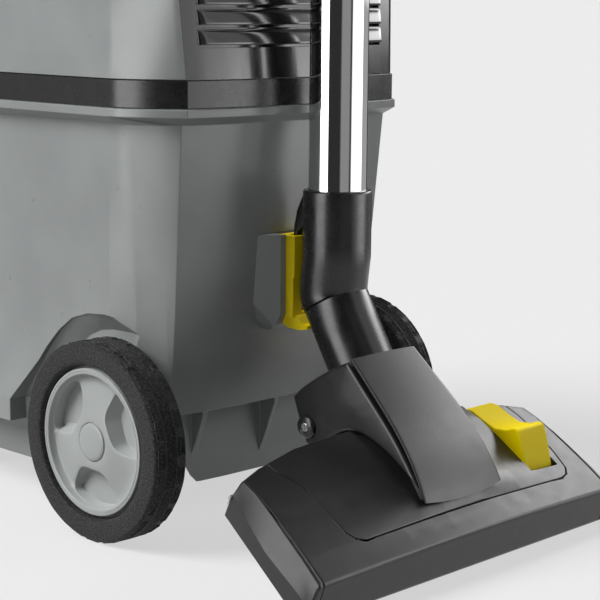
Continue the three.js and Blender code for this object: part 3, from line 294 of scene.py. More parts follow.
# Plating with faint wipe marks along the tube, drawn steel, felted filter cloth and brush fibres.
PATTERNED = {
    "chrome": {
        "noise": (2.5, 3.0, 0.6, (1, 1, 0.03)), "shades": ((0.78, 0.78, 0.79), (0.84, 0.84, 0.85)),
        "rough": (0.06, 0.045), "part": (0.45, 0.8), "relief_mm": 0.002, "roughness": 0.06, "metallic": 1.0,
    },
    "steel": {
        "noise": (0.6, 3.0, 0.6, (0.05, 1, 1)), "shades": ((0.38, 0.38, 0.39), (0.5, 0.5, 0.51)),
        "rough": (0.2, 0.25), "relief_mm": 0.01, "roughness": 0.34, "metallic": 1.0,
    },
    "fleece": {
        "noise": (0.5, 5.0, 0.75), "shades": ((0.6, 0.58, 0.5), (0.85, 0.83, 0.76)),
        "rough": (0.1, 0.88), "relief_mm": 0.2, "roughness": 0.95, "sheen_weight": 0.3,
    },
    "bristle": {
        "noise": (0.4,), "shades": ((0.006, 0.006, 0.006), (0.03, 0.03, 0.03)),
        "rough": (0.2, 0.45), "roughness": 0.55,
    },
}
made_finishes = {}


def make_finish(slot):
    if slot == "gloss_black":
        return gloss_black()
    if slot == "tyre":
        return tyre_rubber()
    if slot in PATTERNED:
        return patterned(slot, **PATTERNED[slot])
    return moulded(slot, **MOULDED[slot])


def finish_of(slot):
    """The finish of a slot, made when a piece first asks for it."""
    if slot not in made_finishes:
        made_finishes[slot] = make_finish(slot)
    return made_finishes[slot]


# ---------------------------------------------------------------- meshes


def put(name, data):
    """Links a new object that holds a mesh, a camera or a lamp."""
    thing = bpy.data.objects.new(name, data)
    bpy.context.scene.collection.objects.link(thing)
    return thing


def add_piece(name, mesh, body, slot, replaced=()):
    """Links a finished mesh as a piece that rides on a body and takes its slot's finish."""
    piece = put(name, mesh)
    mesh.materials.clear()
    mesh.materials.append(finish_of(slot))
    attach(piece, body)
    if replaced:
        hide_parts(*replaced)
    return piece


def extent(node):
    """Low corner, high corner and middle of a CAD node, in mm."""
    low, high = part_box(node)
    return low / MM, high / MM, (low + high) / 2 / MM


def mesh_of(bm, name, angle=35):
    """Closes a bmesh into a mesh that is smooth up to an angle in degrees."""
    bmesh.ops.remove_doubles(bm, verts=bm.verts, dist=1e-6)
    bmesh.ops.recalc_face_normals(bm, faces=bm.faces)
    mesh = bpy.data.meshes.new(name)
    bm.to_mesh(mesh)
    bm.free()
    smooth(mesh, angle)
    return mesh


def smooth(mesh, angle):
    mesh.shade_smooth()
    mesh.set_sharp_from_angle(angle=math.radians(angle))


def evaluated(holder):
    """The mesh of a holder object after its modifiers; the holder is removed."""
    graph = bpy.context.evaluated_depsgraph_get()
    result = bpy.data.meshes.new_from_object(holder.evaluated_get(graph), depsgraph=graph)
    bpy.data.objects.remove(holder)
    return result


def applied(mesh, kind, **settings):
    """A mesh with one modifier applied."""
    holder = put("holder", mesh)
    modifier = holder.modifiers.new(kind.lower(), kind)
    for key, value in settings.items():
        setattr(modifier, key, value)
    return evaluated(holder)


def swell_corners(bm, strips=10):
    """Turns the slanted rear corners of a shell into shallow arcs from crease to crease."""
    for side in (-1, 1):
        facing = Vector((side * math.cos(CORNER_TURN), -math.sin(CORNER_TURN), 0))
        along = Vector((facing.y, -facing.x, 0)) * side
        nearly, least_area = math.radians(8), 1e-5
        slanted = {f for f in bm.faces if f.normal.angle(facing) < nearly and f.calc_area() > least_area}
        creases = {"near": [], "far": []}
        for face in slanted:
            middle = face.calc_center_median().dot(along)
            for edge in face.edges:
                a, b = (v.co for v in edge.verts)
                outer = all(other is face or other not in slanted for other in edge.link_faces)
                if outer and abs((a - b).normalized().z) > 0.8:
                    which = "near" if (a + b).dot(along) / 2 < middle else "far"
                    creases[which] += [(v.z, v.dot(along)) for v in (a, b)]
        if not slanted or not all(creases.values()):
            continue
        lines = {which: list(zip(*sorted(points))) for which, points in creases.items()}
        low = min(lines["near"][1])
        high = max(lines["far"][1])
        for i in range(1, strips):
            cut = along * (low + (high - low) * i / strips)
            parts = list({e for f in slanted for e in f.edges} | {v for f in slanted for v in f.verts} | slanted)
            made = bmesh.ops.bisect_plane(bm, geom=parts, plane_co=cut, plane_no=along, dist=1e-6)
            slanted |= {g for g in made["geom"] if isinstance(g, bmesh.types.BMFace)}
        for vertex in {v for face in slanted for v in face.verts}:
            near, far = (np.interp(vertex.co.z, *lines[which]) for which in ("near", "far"))
            share = min(1.0, max(0.0, (vertex.co.dot(along) - near) / max(far - near, MM)))
            vertex.co += facing * 4 * share * (1 - share) * (1.3 - 0.6 * share) * CORNER_BULGE * MM


def refined(node, name, width_mm, sharp=24, segments=2, angle=40, shape=None):
    """A finer copy of a CAD node: joined up, its flats cleared and its arrises rounded.

    Arrises that turn by more than sharp degrees are rounded; shape may change the bmesh first.
    """
    bm = bmesh.new()
    bm.from_mesh(NODES[node].data)
    bmesh.ops.remove_doubles(bm, verts=bm.verts, dist=3e-5)
    bmesh.ops.dissolve_degenerate(bm, edges=bm.edges, dist=2e-5)
    bmesh.ops.dissolve_limit(bm, angle_limit=math.radians(1.2), verts=bm.verts, edges=bm.edges)
    if shape:
        shape(bm)
    weight = bm.edges.layers.float.new("bevel_weight_edge")
    for edge in bm.edges:
        if len(edge.link_faces) == 2 and math.degrees(edge.calc_face_angle(0)) > sharp:
            edge[weight] = 1.0
    mesh = bpy.data.meshes.new(name)
    bm.to_mesh(mesh)
    bm.free()
    smooth(mesh, angle)
    result = applied(
        mesh,
        "BEVEL",
        width=width_mm * MM,
        segments=segments,
        limit_method="WEIGHT",
        use_clamp_overlap=False,
        miter_outer="MITER_ARC",
        profile=0.6,
    )
    smooth(result, angle)
    return applied(result, "WEIGHTED_NORMAL", keep_sharp=True)


def refine(node, name=None, width_mm=0.5, **options):
    """Replaces a CAD node by its finer copy, on the same body and in the same slot."""
    name = name or f"{node}_finished"
    return add_piece(name, refined(node, name, width_mm, **options), BODY_OF[node], SLOT_OF[node], [node])


def bridge(bm, first, second):
    """Faces between two rings of vertices."""
    for i in range(len(first)):
        j = (i + 1) % len(first)
        bm.faces.new((first[i], first[j], second[j], second[i]))


def skin(bm, rings, closed=False, caps=False):
    """Faces between rings of points in mm; closed joins the last ring to the first."""
    made = [[bm.verts.new(Vector(point) * MM) for point in ring] for ring in rings]
    for first, second in zip(made, made[1:] + made[:1] if closed else made[1:]):
        bridge(bm, first, second)
    if caps:
        bm.faces.new(made[0][::-1])
        bm.faces.new(made[-1])
    return made


def prism(name, rings, angle=35):
    """A solid between rings of points in mm, with flat ends."""
    bm = bmesh.new()
    skin(bm, rings, caps=True)
    return mesh_of(bm, name, angle)


def turned(name, profile, centre, axis="x", facets=96, change=None, angle=35):
    """A closed profile of (radius, along) in mm turned about an axis through centre."""
    bm = bmesh.new()
    rings = []
    for radius, along in profile:
        ring = []
        for i in range(facets):
            turn = TAU * i / facets
            r = change(radius, along, turn) if change else radius
            a, b = r * math.cos(turn), r * math.sin(turn)
            place = {"x": (along, a, b), "y": (b, along, a), "z": (a, b, along)}[axis]
            ring.append(Vector(place) + Vector(centre))
        rings.append(ring)
    skin(bm, rings, closed=True)
    return mesh_of(bm, name, angle)


def add_turned(name, profile, centre, body, slot, replaced=(), **options):
    """Adds a turned profile as a piece."""
    return add_piece(name, turned(name, profile, centre, **options), body, slot, replaced)


def rounded(profile, radius, steps=3):
    """A closed profile whose corners are rounded by up to radius."""
    result = []
    count = len(profile)
    for i, corner in enumerate(profile):
        corner = Vector(corner)
        before, after = Vector(profile[i - 1]), Vector(profile[(i + 1) % count])
        reach = min(radius, (before - corner).length * 0.45, (after - corner).length * 0.45)
        start = corner + (before - corner).normalized() * reach
        end = corner + (after - corner).normalized() * reach
        for k in range(steps + 1):
            t = k / steps
            point = start * (1 - t) ** 2 + corner * 2 * t * (1 - t) + end * t * t
            result.append(tuple(point))
    return result


def rings_along(path, radii, facets):
    """Rings round a path in the YZ plane, mitred at its bends; radii has one for each point."""
    rings = []
    for i, point in enumerate(path):
        before, after = path[max(i - 1, 0)], path[min(i + 1, len(path) - 1)]
        coming, going = point - before, after - point
        coming = coming.normalized() if coming.length else going.normalized()
        going = going.normalized() if going.length else coming
        tangent = (coming + going).normalized()
        up = tangent.cross(Vector((1, 0, 0))).normalized()
        stretch = 1 / max(0.5, going.dot(tangent))
        ring = []
        for k in range(facets):
            turn = TAU * k / facets
            across = Vector((1, 0, 0)) * radii[i] * math.cos(turn)
            ring.append(point + across + up * radii[i] * stretch * math.sin(turn))
        rings.append(ring)
    return rings


def add_tube(name, path, outer, inner, body, slot, replaced, facets=96):
    """Adds a hollow bar along a path: outer and inner radii at each point, closed at both ends."""
    bm = bmesh.new()
    skin(bm, rings_along(path, outer, facets) + rings_along(path, inner, facets)[::-1], closed=True)
    return add_piece(name, mesh_of(bm, name, 40), body, slot, replaced)


def line(start, end, steps):
    return [start.lerp(end, i / steps) for i in range(steps + 1)]


# ---------------------------------------------------------------- geometry nodes


class Growth(Nodes):
    """A Geometry Nodes tree that repeats a shape."""

    KINDS = {int: "NodeSocketInt", float: "NodeSocketFloat", tuple: "NodeSocketVector"}

    def __init__(self, name, **sizes):
        super().__init__(bpy.data.node_groups.new(name, "GeometryNodeTree"))
        self.ids = {}
        self.ask("Geometry", "NodeSocketGeometry")
        for label, value in sizes.items():
            self.ask(label, self.KINDS[type(value)]).default_value = value
        self.ask("Finish", "NodeSocketMaterial")
        self.tree.interface.new_socket("Geometry", in_out="OUTPUT", socket_type="NodeSocketGeometry")
        self.source = self.tree.nodes.new("NodeGroupInput")

    def ask(self, label, kind):
        """Adds a named input to the tree."""
        socket = self.tree.interface.new_socket(label, in_out="INPUT", socket_type=kind)
        self.ids[label] = socket.identifier
        return socket

    def given(self, label):
        return Value(self, self.source.outputs[label])

    def random(self, kind, low, high, **inputs):
        inputs = {"Min": low, "Max": high, **inputs}
        return self.make("FunctionNodeRandomValue", {"data_type": kind}, inputs, output="Value")

    def copies(self, points, rotation):
        """The incoming shape once on each point."""
        inputs = {"Points": points, "Instance": self.given("Geometry"), "Rotation": rotation}
        return self.make("GeometryNodeInstanceOnPoints", inputs=inputs)

    def end(self, geometry):
        """Realizes the instances, gives them their finish and closes the tree."""
        real = self.make("GeometryNodeRealizeInstances", inputs={0: geometry})
        finished = self.make("GeometryNodeSetMaterial", inputs={"Geometry": real, "Material": self.given("Finish")})
        self.feed(self.tree.nodes.new("NodeGroupOutput"), 0, finished)
        return self

    def grow(self, mesh, name, **values):
        """Runs the tree on a mesh and returns the result as a plain mesh."""
        holder = put("holder", mesh)
        modifier = holder.modifiers.new("growth", "NODES")
        modifier.node_group = self.tree
        for label, value in values.items():
            modifier[self.ids[label]] = value
        result = evaluated(holder)
        result.name = name
        return result


def ring_growth():
    """Repeats a shape about the X axis through a centre, evenly or with a little slip."""
    growth = Growth("ring_of_shapes", Count=12, Centre=(0.0, 0.0, 0.0), Slip=0.0)
    count = growth.given("Count")
    points = growth.make("GeometryNodeMeshLine", inputs={"Count": count, "Offset": (0, 0, 0)})
    index = growth.make("GeometryNodeInputIndex")
    slip = growth.random("FLOAT", -1.0, 1.0, ID=index, Seed=7)
    turn = index * (TAU / count) + slip * growth.given("Slip")
    rotation = growth.make("ShaderNodeCombineXYZ", inputs={"X": turn})
    inputs = {"Geometry": growth.copies(points, rotation), "Translation": growth.given("Centre")}
    return growth.end(growth.make("GeometryNodeTransform", inputs=inputs))


def grid_growth():
    """Repeats a shape over a grid in the XY plane, each copy leaning its own small way."""
    growth = Growth("grid_of_shapes", Columns=10, Rows=2, Length=0.1, Width=0.01, Lean=0.0)
    sizes = {"Size X": "Length", "Size Y": "Width", "Vertices X": "Columns", "Vertices Y": "Rows"}
    inputs = {socket: growth.given(label) for socket, label in sizes.items()}
    points = growth.make("GeometryNodeMeshGrid", inputs=inputs)
    lean = growth.random("FLOAT_VECTOR", (-1, -1, -1), (1, 1, 1), Seed=3)
    inputs = {0: lean, "Scale": growth.given("Lean")}
    rotation = growth.make("ShaderNodeVectorMath", {"operation": "SCALE"}, inputs)
    return growth.end(growth.copies(points, rotation))


# ---------------------------------------------------------------- settings


class VacuumWheelSettings(bpy.types.PropertyGroup):
    grooves: IntProperty(name="Tread grooves", description="Fine grooves round the tread", default=6)
    groove_depth: FloatProperty(
        name="Groove depth", description="Depth of a tread groove", default=0.0008, unit="LENGTH"
    )
    loops: IntProperty(name="Tread loops", description="Raised loops round each shoulder", default=24)
    lumps: FloatProperty(name="Lumps", description="How far the worn tread falls in", default=0.0005, unit="LENGTH")
    pocket_depth: FloatProperty(
        name="Pocket depth", description="Depth of the pockets between the spokes", default=0.0075, unit="LENGTH"
    )


class VacuumLouvreSettings(bpy.types.PropertyGroup):
    rows: IntProperty(name="Louvres", description="Rows of louvres in the rear panel", default=5)
    pitch: FloatProperty(name="Pitch", description="Height from louvre to louvre", default=0.0115, unit="LENGTH")
    swell: FloatProperty(name="Swell", description="How far a louvre stands proud", default=0.0026, unit="LENGTH")
    half: FloatProperty(name="Half length", description="Half of a louvre's length", default=0.079, unit="LENGTH")


class VacuumBrushSettings(bpy.types.PropertyGroup):
    columns: IntProperty(name="Tufts", description="Tufts along a brush strip", default=110)
    lean: FloatProperty(name="Lean", description="Largest lean of a bristle", default=0.12, subtype="ANGLE")


class VacuumStageSettings(bpy.types.PropertyGroup):
    backdrop: FloatVectorProperty(
        name="Backdrop", description="Colour of the floor and backdrop", default=(0.83, 0.83, 0.83), subtype="COLOR"
    )
    ambient: FloatProperty(name="Ambient", description="Strength of the even light all round", default=0.17)
    side_light: FloatProperty(name="Side light", description="Strength of the light on its side", default=4.1)
    rear_light: FloatProperty(name="Rear light", description="Strength of the light on its rear", default=0.5)
    far_light: FloatProperty(name="Far light", description="Strength of the light from the far side", default=2.4)


# ---------------------------------------------------------------- tub


class VACUUM_OT_tub(bpy.types.Operator):
    """Tub with its seal and filter basket"""

    bl_idname = "vacuum.tub"
    bl_label = "Tub"

    def execute(self, context):
        refine("tub", "tub_shell", 0.5, shape=swell_corners)
        refine("tub_seal", "tub_gasket", 0.4)
        refine("filter_basket", "basket", 0.4)
        return {"FINISHED"}


class VACUUM_OT_parking(bpy.types.Operator):
    """Bracket and clip that the suction tube hangs in"""

    bl_idname = "vacuum.parking"
    bl_label = "Parking clip"

    def execute(self, context):
        refine("parking_bracket", "parking_cheeks", 0.7, segments=3)
        refine("parking_clip", "parking_hook_clip", 0.5, segments=3)
        return {"FINISHED"}


# ---------------------------------------------------------------- wheels


TREAD_RADIUS = 61.05
HUB_BOSS, HUB_RIM = 12.2, 40.3


def wheel_place(side, sign):
    """Outer face, width and middle of a rear wheel, in mm."""
    low, high, centre = extent(f"tyre_{side}")
    return sign * max(abs(low.x), abs(high.x)), high.x - low.x, centre


def tyre_profile(settings, width):
    """The tyre's section as (radius, depth from its outer face), all the way round."""
    groove = 61.4 - settings.groove_depth / MM
    shoulder = [(TREAD_RADIUS, 2.6), (TREAD_RADIUS, 7.4), (61.4, 7.8)]
    profile = [(46.5, 5.0), (47.4, 1.4), (47.8, 0.5), (48.6, 0.1), (51.5, 0), (58.9, 0), (59.7, 0.2), (60.4, 0.8),
               (60.9, 1.7), *shoulder]
    start = 8.6
    pitch = (width - 2 * start) / settings.grooves
    for i in range(settings.grooves):
        at = start + pitch * (i + 0.5)
        profile += [(61.45, at - 0.45), (61.3, at - 0.3), (groove, at - 0.18)]
        profile += [(groove, at + 0.18), (61.3, at + 0.3), (61.45, at + 0.45)]
    far = [(r, width - d) for r, d in [*shoulder[::-1], (60.9, 1.7), (60.4, 0.8), (59.5, 0.1)]]
    return profile + far + [(58.0, width), (47.0, width), (46.5, width - 0.5)]


def tread_loop(length, width, radius):
    """One raised pair of nested, rounded loops of the tread, lying at the top of the tyre."""
    bm = bmesh.new()
    for shrink in (0.35, 1.55):
        half_x, half_y = width / 2 - shrink, length / 2 - shrink
        corner = min(half_x, half_y, 1.4)
        ring = []
        for k in range(32):
            turn = TAU * k / 32
            cx = math.copysign(half_x - corner, math.cos(turn)) + corner * math.cos(turn)
            cy = math.copysign(half_y - corner, math.sin(turn)) + corner * math.sin(turn)
            ring.append((cx, cy))
        section = [(-0.34, -0.6), (-0.3, 0.2), (-0.16, 0.36), (0.16, 0.36), (0.3, 0.2), (0.34, -0.6)]
        rings = []
        for out, rise in section:
            row = []
            for x, y in ring:
                outward = Vector((x, y)).normalized() * out
                arc = (y + outward.y) / radius
                height = (radius + rise) * math.cos(arc)
                row.append((x + outward.x, (radius + rise) * math.sin(arc), height))
            rings.append(row)
        skin(bm, rings, closed=True)
    return mesh_of(bm, "tread_loop")


def lumpy(settings, phase):
    """Radius of the worn tread: slow dips and flats, never above the mould's own radius."""
    depth = settings.lumps / MM

    def change(radius, along, turn):
        if radius < 57:
            return radius
        wave = math.sin(7 * turn + phase) + 0.8 * math.sin(13 * turn + 2.1 * phase) + 0.5 * math.sin(29 * turn)
        return radius - depth * (0.5 + 0.22 * wave)

    return change


class VACUUM_OT_tyres(bpy.types.Operator):
    """Tyres with grooves and raised loops in their tread"""

    bl_idname = "vacuum.tyres"
    bl_label = "Tyres"

    def execute(self, context):
        settings = context.scene.vacuum_wheels
        growth = ring_growth()
        for side, sign in SIDES:
            face, width, centre = wheel_place(side, sign)
            body = f"wheel_{side}"
            profile = [(r, face - sign * d) for r, d in tyre_profile(settings, width)]
            options = {"facets": 192, "change": lumpy(settings, sign), "angle": 50}
            name = f"tyre_{side}_tread"
            add_turned(name, profile, (0, centre.y, centre.z), body, "tyre", [f"tyre_{side}"], **options)
            bands = ((12.6, 5.6, 0.0, 4.6), (12.0, 5.2, 0.7, width - 4.6))
            for band, (length, wide, phase, depth) in enumerate(bands):
                loop = tread_loop(length, wide, TREAD_RADIUS - 0.12)
                loop.transform(Matrix.Rotation(phase, 4, "X"))
                middle = ((face - sign * depth) * MM, centre.y * MM, centre.z * MM)
                name = f"tyre_{side}_loops_{band}"
                tyre = finish_of("tyre")
                grown = growth.grow(loop, name, Count=settings.loops, Centre=middle, Slip=0.02, Finish=tyre)
                smooth(grown, 40)
                add_piece(name, grown, body, "tyre")
        return {"FINISHED"}


def pocket_outline(start):
    """Outline of one pocket between two spokes, as (y, z) in mm about the hub's axis."""
    inner = [(16.6, 42), (16.5, 32), (16.9, 20), (18.2, 9), (20.6, 2.5), (24, -0.6), (30, -1.4), (35.5, -1.4)]
    outer = [(38.6, 0.4), (39.9, 5), (39.9, 59), (38.8, 63.6), (36, 66), (31, 67), (26, 66.6), (22, 65), (19, 60),
             (17.4, 51)]
    corners = inner + outer
    points = []
    for (r, a), (next_r, next_a) in zip(corners, corners[1:] + corners[:1]):
        steps = max(1, round(math.hypot(next_r - r, math.radians(next_a - a) * r) / 1.1))
        for i in range(steps):
            radius = r + (next_r - r) * i / steps
            turn = math.radians(start + a + (next_a - a) * i / steps)
            points.append(polar(radius, turn))
    return relax(points, 2)


def polar(radius, turn):
    return Vector((radius * math.cos(turn), radius * math.sin(turn)))


def relax(points, times):
    """Evens out small kinks of a closed outline."""
    for _ in range(times):
        points = [(points[i - 1] + points[i] * 2 + points[(i + 1) % len(points)]) / 4 for i in range(len(points))]
    return points


def drawn_in(points, amounts):
    """A closed outline moved inwards, each point by its own amount."""
    area = sum(a.cross(b) for a, b in zip(points, points[1:] + points[:1]))
    flip = 1 if area > 0 else -1
    result = []
    for i, point in enumerate(points):
        along = (points[(i + 1) % len(points)] - points[i - 1]).normalized()
        result.append(point + Vector((-along.y, along.x)) * flip * amounts[i])
    return result


def face_depth(radius):
    """Depth of the spokes' face below the tyre's face."""
    stops = [(HUB_BOSS, 2.6), (14, 2.5), (17, 2.8), (24, 4.0), (32, 5.6), (37, 6.2), (39.5, 5.6), (HUB_RIM, 4.4)]
    return float(np.interp(radius, *zip(*stops)))


def hub_mesh(name, sign, face, centre, depth):
    """Hub with three broad spokes, sunk pockets between them and a lipped rim."""
    bm = bmesh.new()
    facets = 144
    pockets = [pocket_outline(120 * k) for k in range(3)]

    def place(flat, down):
        return Vector((face - sign * down, centre.y + flat[0], centre.z + flat[1]))

    flats, edges = [], []

    def ring(points):
        first = len(flats)
        flats.extend(points)
        edges.extend((first + i, first + (i + 1) % len(points)) for i in range(len(points)))

    angles = [TAU * i / facets for i in range(facets)]
    for radius in (HUB_BOSS, HUB_RIM):
        ring([polar(radius, a) for a in angles])
    for outline in pockets:
        ring(outline)
    for radius in (13.2, 14.6, 16.4, 18.4, 21, 24, 27, 30, 33, 35.5, 37.6, 39.2):
        for a in angles[::2]:
            point = polar(radius, a)
            if all((point - q).length > 0.7 for outline in pockets for q in outline):
                flats.append(point)
    made, _, triangles = delaunay_2d_cdt(flats, edges, [], 0, 1e-4)[:3]
    verts = [bm.verts.new(place(p, face_depth(p.length)) * MM) for p in made]
    for triangle in triangles:
        middle = sum((made[i] for i in triangle), Vector((0, 0))) / 3
        if HUB_BOSS < middle.length < HUB_RIM and not any(inside(middle, outline) for outline in pockets):
            bm.faces.new([verts[i] for i in triangle])
    loose = [v for v in bm.verts if not v.link_faces]
    bmesh.ops.delete(bm, geom=loose, context="VERTS")
    for k, outline in enumerate(pockets):
        loops = []
        for inset, down in [(0.0, 0.0), (0.22, 0.12), (0.42, 0.5)]:
            lip = drawn_in(outline, [inset] * len(outline))
            loops.append([place(p, face_depth(q.length) + down) for p, q in zip(lip, outline)])
        share = [wall_slant(math.degrees(math.atan2(p.y, p.x)) - 120 * k, p.length) for p in outline]
        bottom = drawn_in(outline, [0.8 + 5.0 * s for s in share])
        loops.append([place(p, 4.2 + depth) for p in bottom])
        bm.faces.new(skin(bm, loops)[-1])
    rim = [(HUB_RIM, 4.4), (40.7, 3.0), (41.1, 2.0), (41.6, 1.65), (42.6, 1.6), (42.8, 1.85), (43.0, 1.85),
           (43.2, 1.6), (44.1, 1.6), (44.5, 1.8), (44.7, 2.3), (44.7, 5), (46.2, 6), (46.2, 22.7), (43.2, 22.7),
           (43.2, 15.5), (13, 15.5), (13, 27.9), (6.3, 27.9), (6.3, 4.6), (11.7, 4.6), (11.9, 3.0), (HUB_BOSS, 2.6)]
    skin(bm, [[place(polar(r, a), d) for a in angles] for r, d in rim])
    bmesh.ops.remove_doubles(bm, verts=bm.verts, dist=2e-5)
    return mesh_of(bm, name, 32)


def inside(point, outline):
    """Whether a point lies within a closed outline."""
    hit = False
    for a, b in zip(outline, outline[1:] + outline[:1]):
        if (a.y > point.y) != (b.y > point.y):
            if point.x < a.x + (point.y - a.y) / (b.y - a.y) * (b.x - a.x):
                hit = not hit
    return hit


def wall_slant(angle, radius):
    """How far a pocket's wall slants: most beside the hub and the spokes, least along the rim."""
    angle = (angle + 90) % 360 - 90
    return float(np.interp(radius, [34, 39.5], [1.0, 0.0])) * float(np.interp(angle, [0, 30, 66], [1.0, 0.7, 0.45]))


class VACUUM_OT_hubs(bpy.types.Operator):
    """Wheel hubs and their caps"""

    bl_idname = "vacuum.hubs"
    bl_label = "Hubs"

    def execute(self, context):
        depth = context.scene.vacuum_wheels.pocket_depth / MM
        cap = [(0.01, 1.35), (6, 1.4), (9.4, 1.55), (10.7, 1.8), (11.3, 2.2), (11.55, 2.9), (11.55, 4.3), (0.01, 4.3)]
        for side, sign in SIDES:
            face, _, centre = wheel_place(side, sign)
            body, name = f"wheel_{side}", f"hub_{side}_spokes"
            spokes = hub_mesh(name, sign, face, centre, depth)
            add_piece(name, spokes, body, "pale_plastic", [f"wheel_hub_{side}"])
            profile = [(r, face - sign * d) for r, d in cap]
            axis = (0, centre.y, centre.z)
            add_turned(f"hub_{side}_cap", profile, axis, body, "pale_plastic", [f"wheel_cap_{side}"])
        return {"FINISHED"}


class VACUUM_OT_running_gear(bpy.types.Operator):
    """Axle, bushes and front casters"""

    bl_idname = "vacuum.running_gear"
    bl_label = "Axle and casters"

    def execute(self, context):
        refine("rear_axle", "axle_rod", 0.8, sharp=40)
        for side, _ in SIDES:
            refine(f"axle_bush_{side}", width_mm=0.2)
            refine(f"caster_fork_{side}", width_mm=0.6)
            node, name = f"caster_wheel_{side}", f"caster_roll_{side}"
            low, high, centre = extent(node)
            half = (high.x - low.x) / 2
            section = [(3.3, -half + 1), (13, -half + 1), (14, -half), (17, -half), (20, -half + 3), (20, half - 3),
                       (17, half), (14, half), (13, half - 1), (3.3, half - 1)]
            add_turned(name, rounded(section, 1.0), centre, name, "dark_plastic", [node], facets=72)
        return {"FINISHED"}


# ---------------------------------------------------------------- head


class VACUUM_OT_head(bpy.types.Operator):
    """Band, covers and front panel of the head"""

    bl_idname = "vacuum.head"
    bl_label = "Head"

    def execute(self, context):
        refine("head_base", "head_band", 0.5, segments=3, shape=swell_corners)
        for side, _ in SIDES:
            refine(f"side_cover_{side}", f"side_shell_{side}", 0.6, segments=3, shape=swell_corners)
        refine("front_panel", "front_shell", 0.6)
        refine("top_cover", "top_shell", 0.8, segments=3, shape=swell_corners)
        refine("cable_gland", "cord_gland", 0.4)
        return {"FINISHED"}


LOUVRE_FOOT = 297
PANEL_FOOT, PANEL_TOP = 277.2, 353.0


def panel_face(x, z):
    """Rear face of the rear panel in mm, before its louvres, and half of its width at that height."""
    edge = 88.2 + 0.054 * (z - 276.9)
    rear = 190 - 0.8 - (z - PANEL_FOOT) / 74.8 * 4.9
    return (-190 + 8.4 * (x / edge) ** 2) * rear / 190 + 1.4 + BODY_Y, edge


def louvre_columns(half, bend):
    """Places across the panel where its face is cut: closest where a louvre's ends bend back."""
    xs = [half - bend + bend * math.sin(math.pi / 2 * i / 12) for i in range(13)]
    xs = sorted({*xs, half + 0.02, half + 1.5, 84, *(12.5 * i for i in range(1, 6))})
    return [-x for x in xs[::-1]] + [0.0] + xs


def louvre_rows(settings, rise):
    """Heights where the panel's face is cut, each with its louvre's foot, "gap" or nothing."""
    rows = [(z, None) for z in (PANEL_FOOT, 277.5, 280, 286, 292)]
    for i in range(settings.rows):
        foot = LOUVRE_FOOT + settings.pitch / MM * i
        rows += [(foot - 2.2, None), (foot - 1.75, None), (foot - 1.6, "gap"), (foot - 0.05, "gap")]
        rows += [(foot + above, foot) for above in (0, 0.25, 0.8, 1.6)]
        rows += [(foot + 1.6 + (rise - 1.6) * k / 8, foot) for k in range(1, 9)]
    return rows + [(PANEL_TOP - 1, None), (PANEL_TOP, None)]


class VACUUM_OT_rear_panel(bpy.types.Operator):
    """Polished rear panel with its louvres"""

    bl_idname = "vacuum.rear_panel"
    bl_label = "Rear panel"

    def execute(self, context):
        settings = context.scene.vacuum_louvres
        half, swell = settings.half / MM, settings.swell / MM
        bend, rise, wall = 5.0, 8.6, Vector((0, 6.4 * MM, 0))
        columns = louvre_columns(half, bend)
        bm = bmesh.new()
        grid = []
        for z, foot in louvre_rows(settings, rise):
            edge = panel_face(0, z)[1]
            row = []
            for x in [-edge, *columns, edge]:
                y = panel_face(x, z)[0]
                if foot == "gap":
                    y += 5.0 if abs(x) <= half - 1.5 else 0
                elif foot:
                    end = max(0.0, abs(x) - (half - bend)) / bend
                    across = math.sqrt(max(0.0, 1 - end * end))
                    share = (z - foot) / rise
                    lip = 0.86 + 0.14 * min(1.0, (z - foot) / 0.8)
                    crown = math.sqrt(max(0.0, 1 - max(0.0, share - 0.1) ** 2 / 0.81))
                    y -= swell * across * lip * crown * (1 - 0.25 * share)
                row.append(bm.verts.new(Vector((x, y, z)) * MM))
            grid.append(row)
        under, over = ([bm.verts.new(v.co + wall) for v in row] for row in (grid[0], grid[-1]))
        around = [under, *grid, over, under]
        for low, high in zip(around, around[1:]):
            for i in range(len(low) - 1):
                bm.faces.new((low[i], low[i + 1], high[i + 1], high[i]))
        bm.faces.new([row[0] for row in around[:-1]])
        bm.faces.new([row[-1] for row in around[:-1]][::-1])
        add_piece("rear_louvres", mesh_of(bm, "rear_louvres", 48), "head", "gloss_black", ["rear_panel"])
        return {"FINISHED"}


class VACUUM_OT_fittings(bpy.types.Operator):
    """Carry handle, power button and latches"""

    bl_idname = "vacuum.fittings"
    bl_label = "Fittings"

    def execute(self, context):
        refine("carry_handle", "handle_bail", 0.3, sharp=50, angle=60)
        low, high, centre = extent("power_button")
        foot, top = low.z, high.z
        profile = [(0.01, foot), (19, foot), (19, foot + 3), (17, foot + 3), (17, top - 1.4), (16.2, top - 0.3),
                   (14.5, top), (13, top - 0.3), (9, top - 0.9), (0.01, top - 1.1)]
        middle = (centre.x, centre.y, 0)
        add_turned("button_cap", profile, middle, "button", "yellow_plastic", ["power_button"], axis="z")
        for side, _ in SIDES:
            refine(f"latch_{side}", f"latch_{side}_lever", 0.8, segments=3)
        return {"FINISHED"}


class VACUUM_OT_inner_works(bpy.types.Operator):
    """Motor, fan, switch, filters and the button's spring"""

    bl_idname = "vacuum.inner_works"
    bl_label = "Inner works"

    def execute(self, context):
        for node in ("switch_block", "motor_housing", "motor_seal", "rotor", "impeller"):
            refine(node, width_mm=0.3)
        coil_spring("button_spring", "button_coil", 0.8, 6)
        pleated_filter()
        dust_bag()
        return {"FINISHED"}


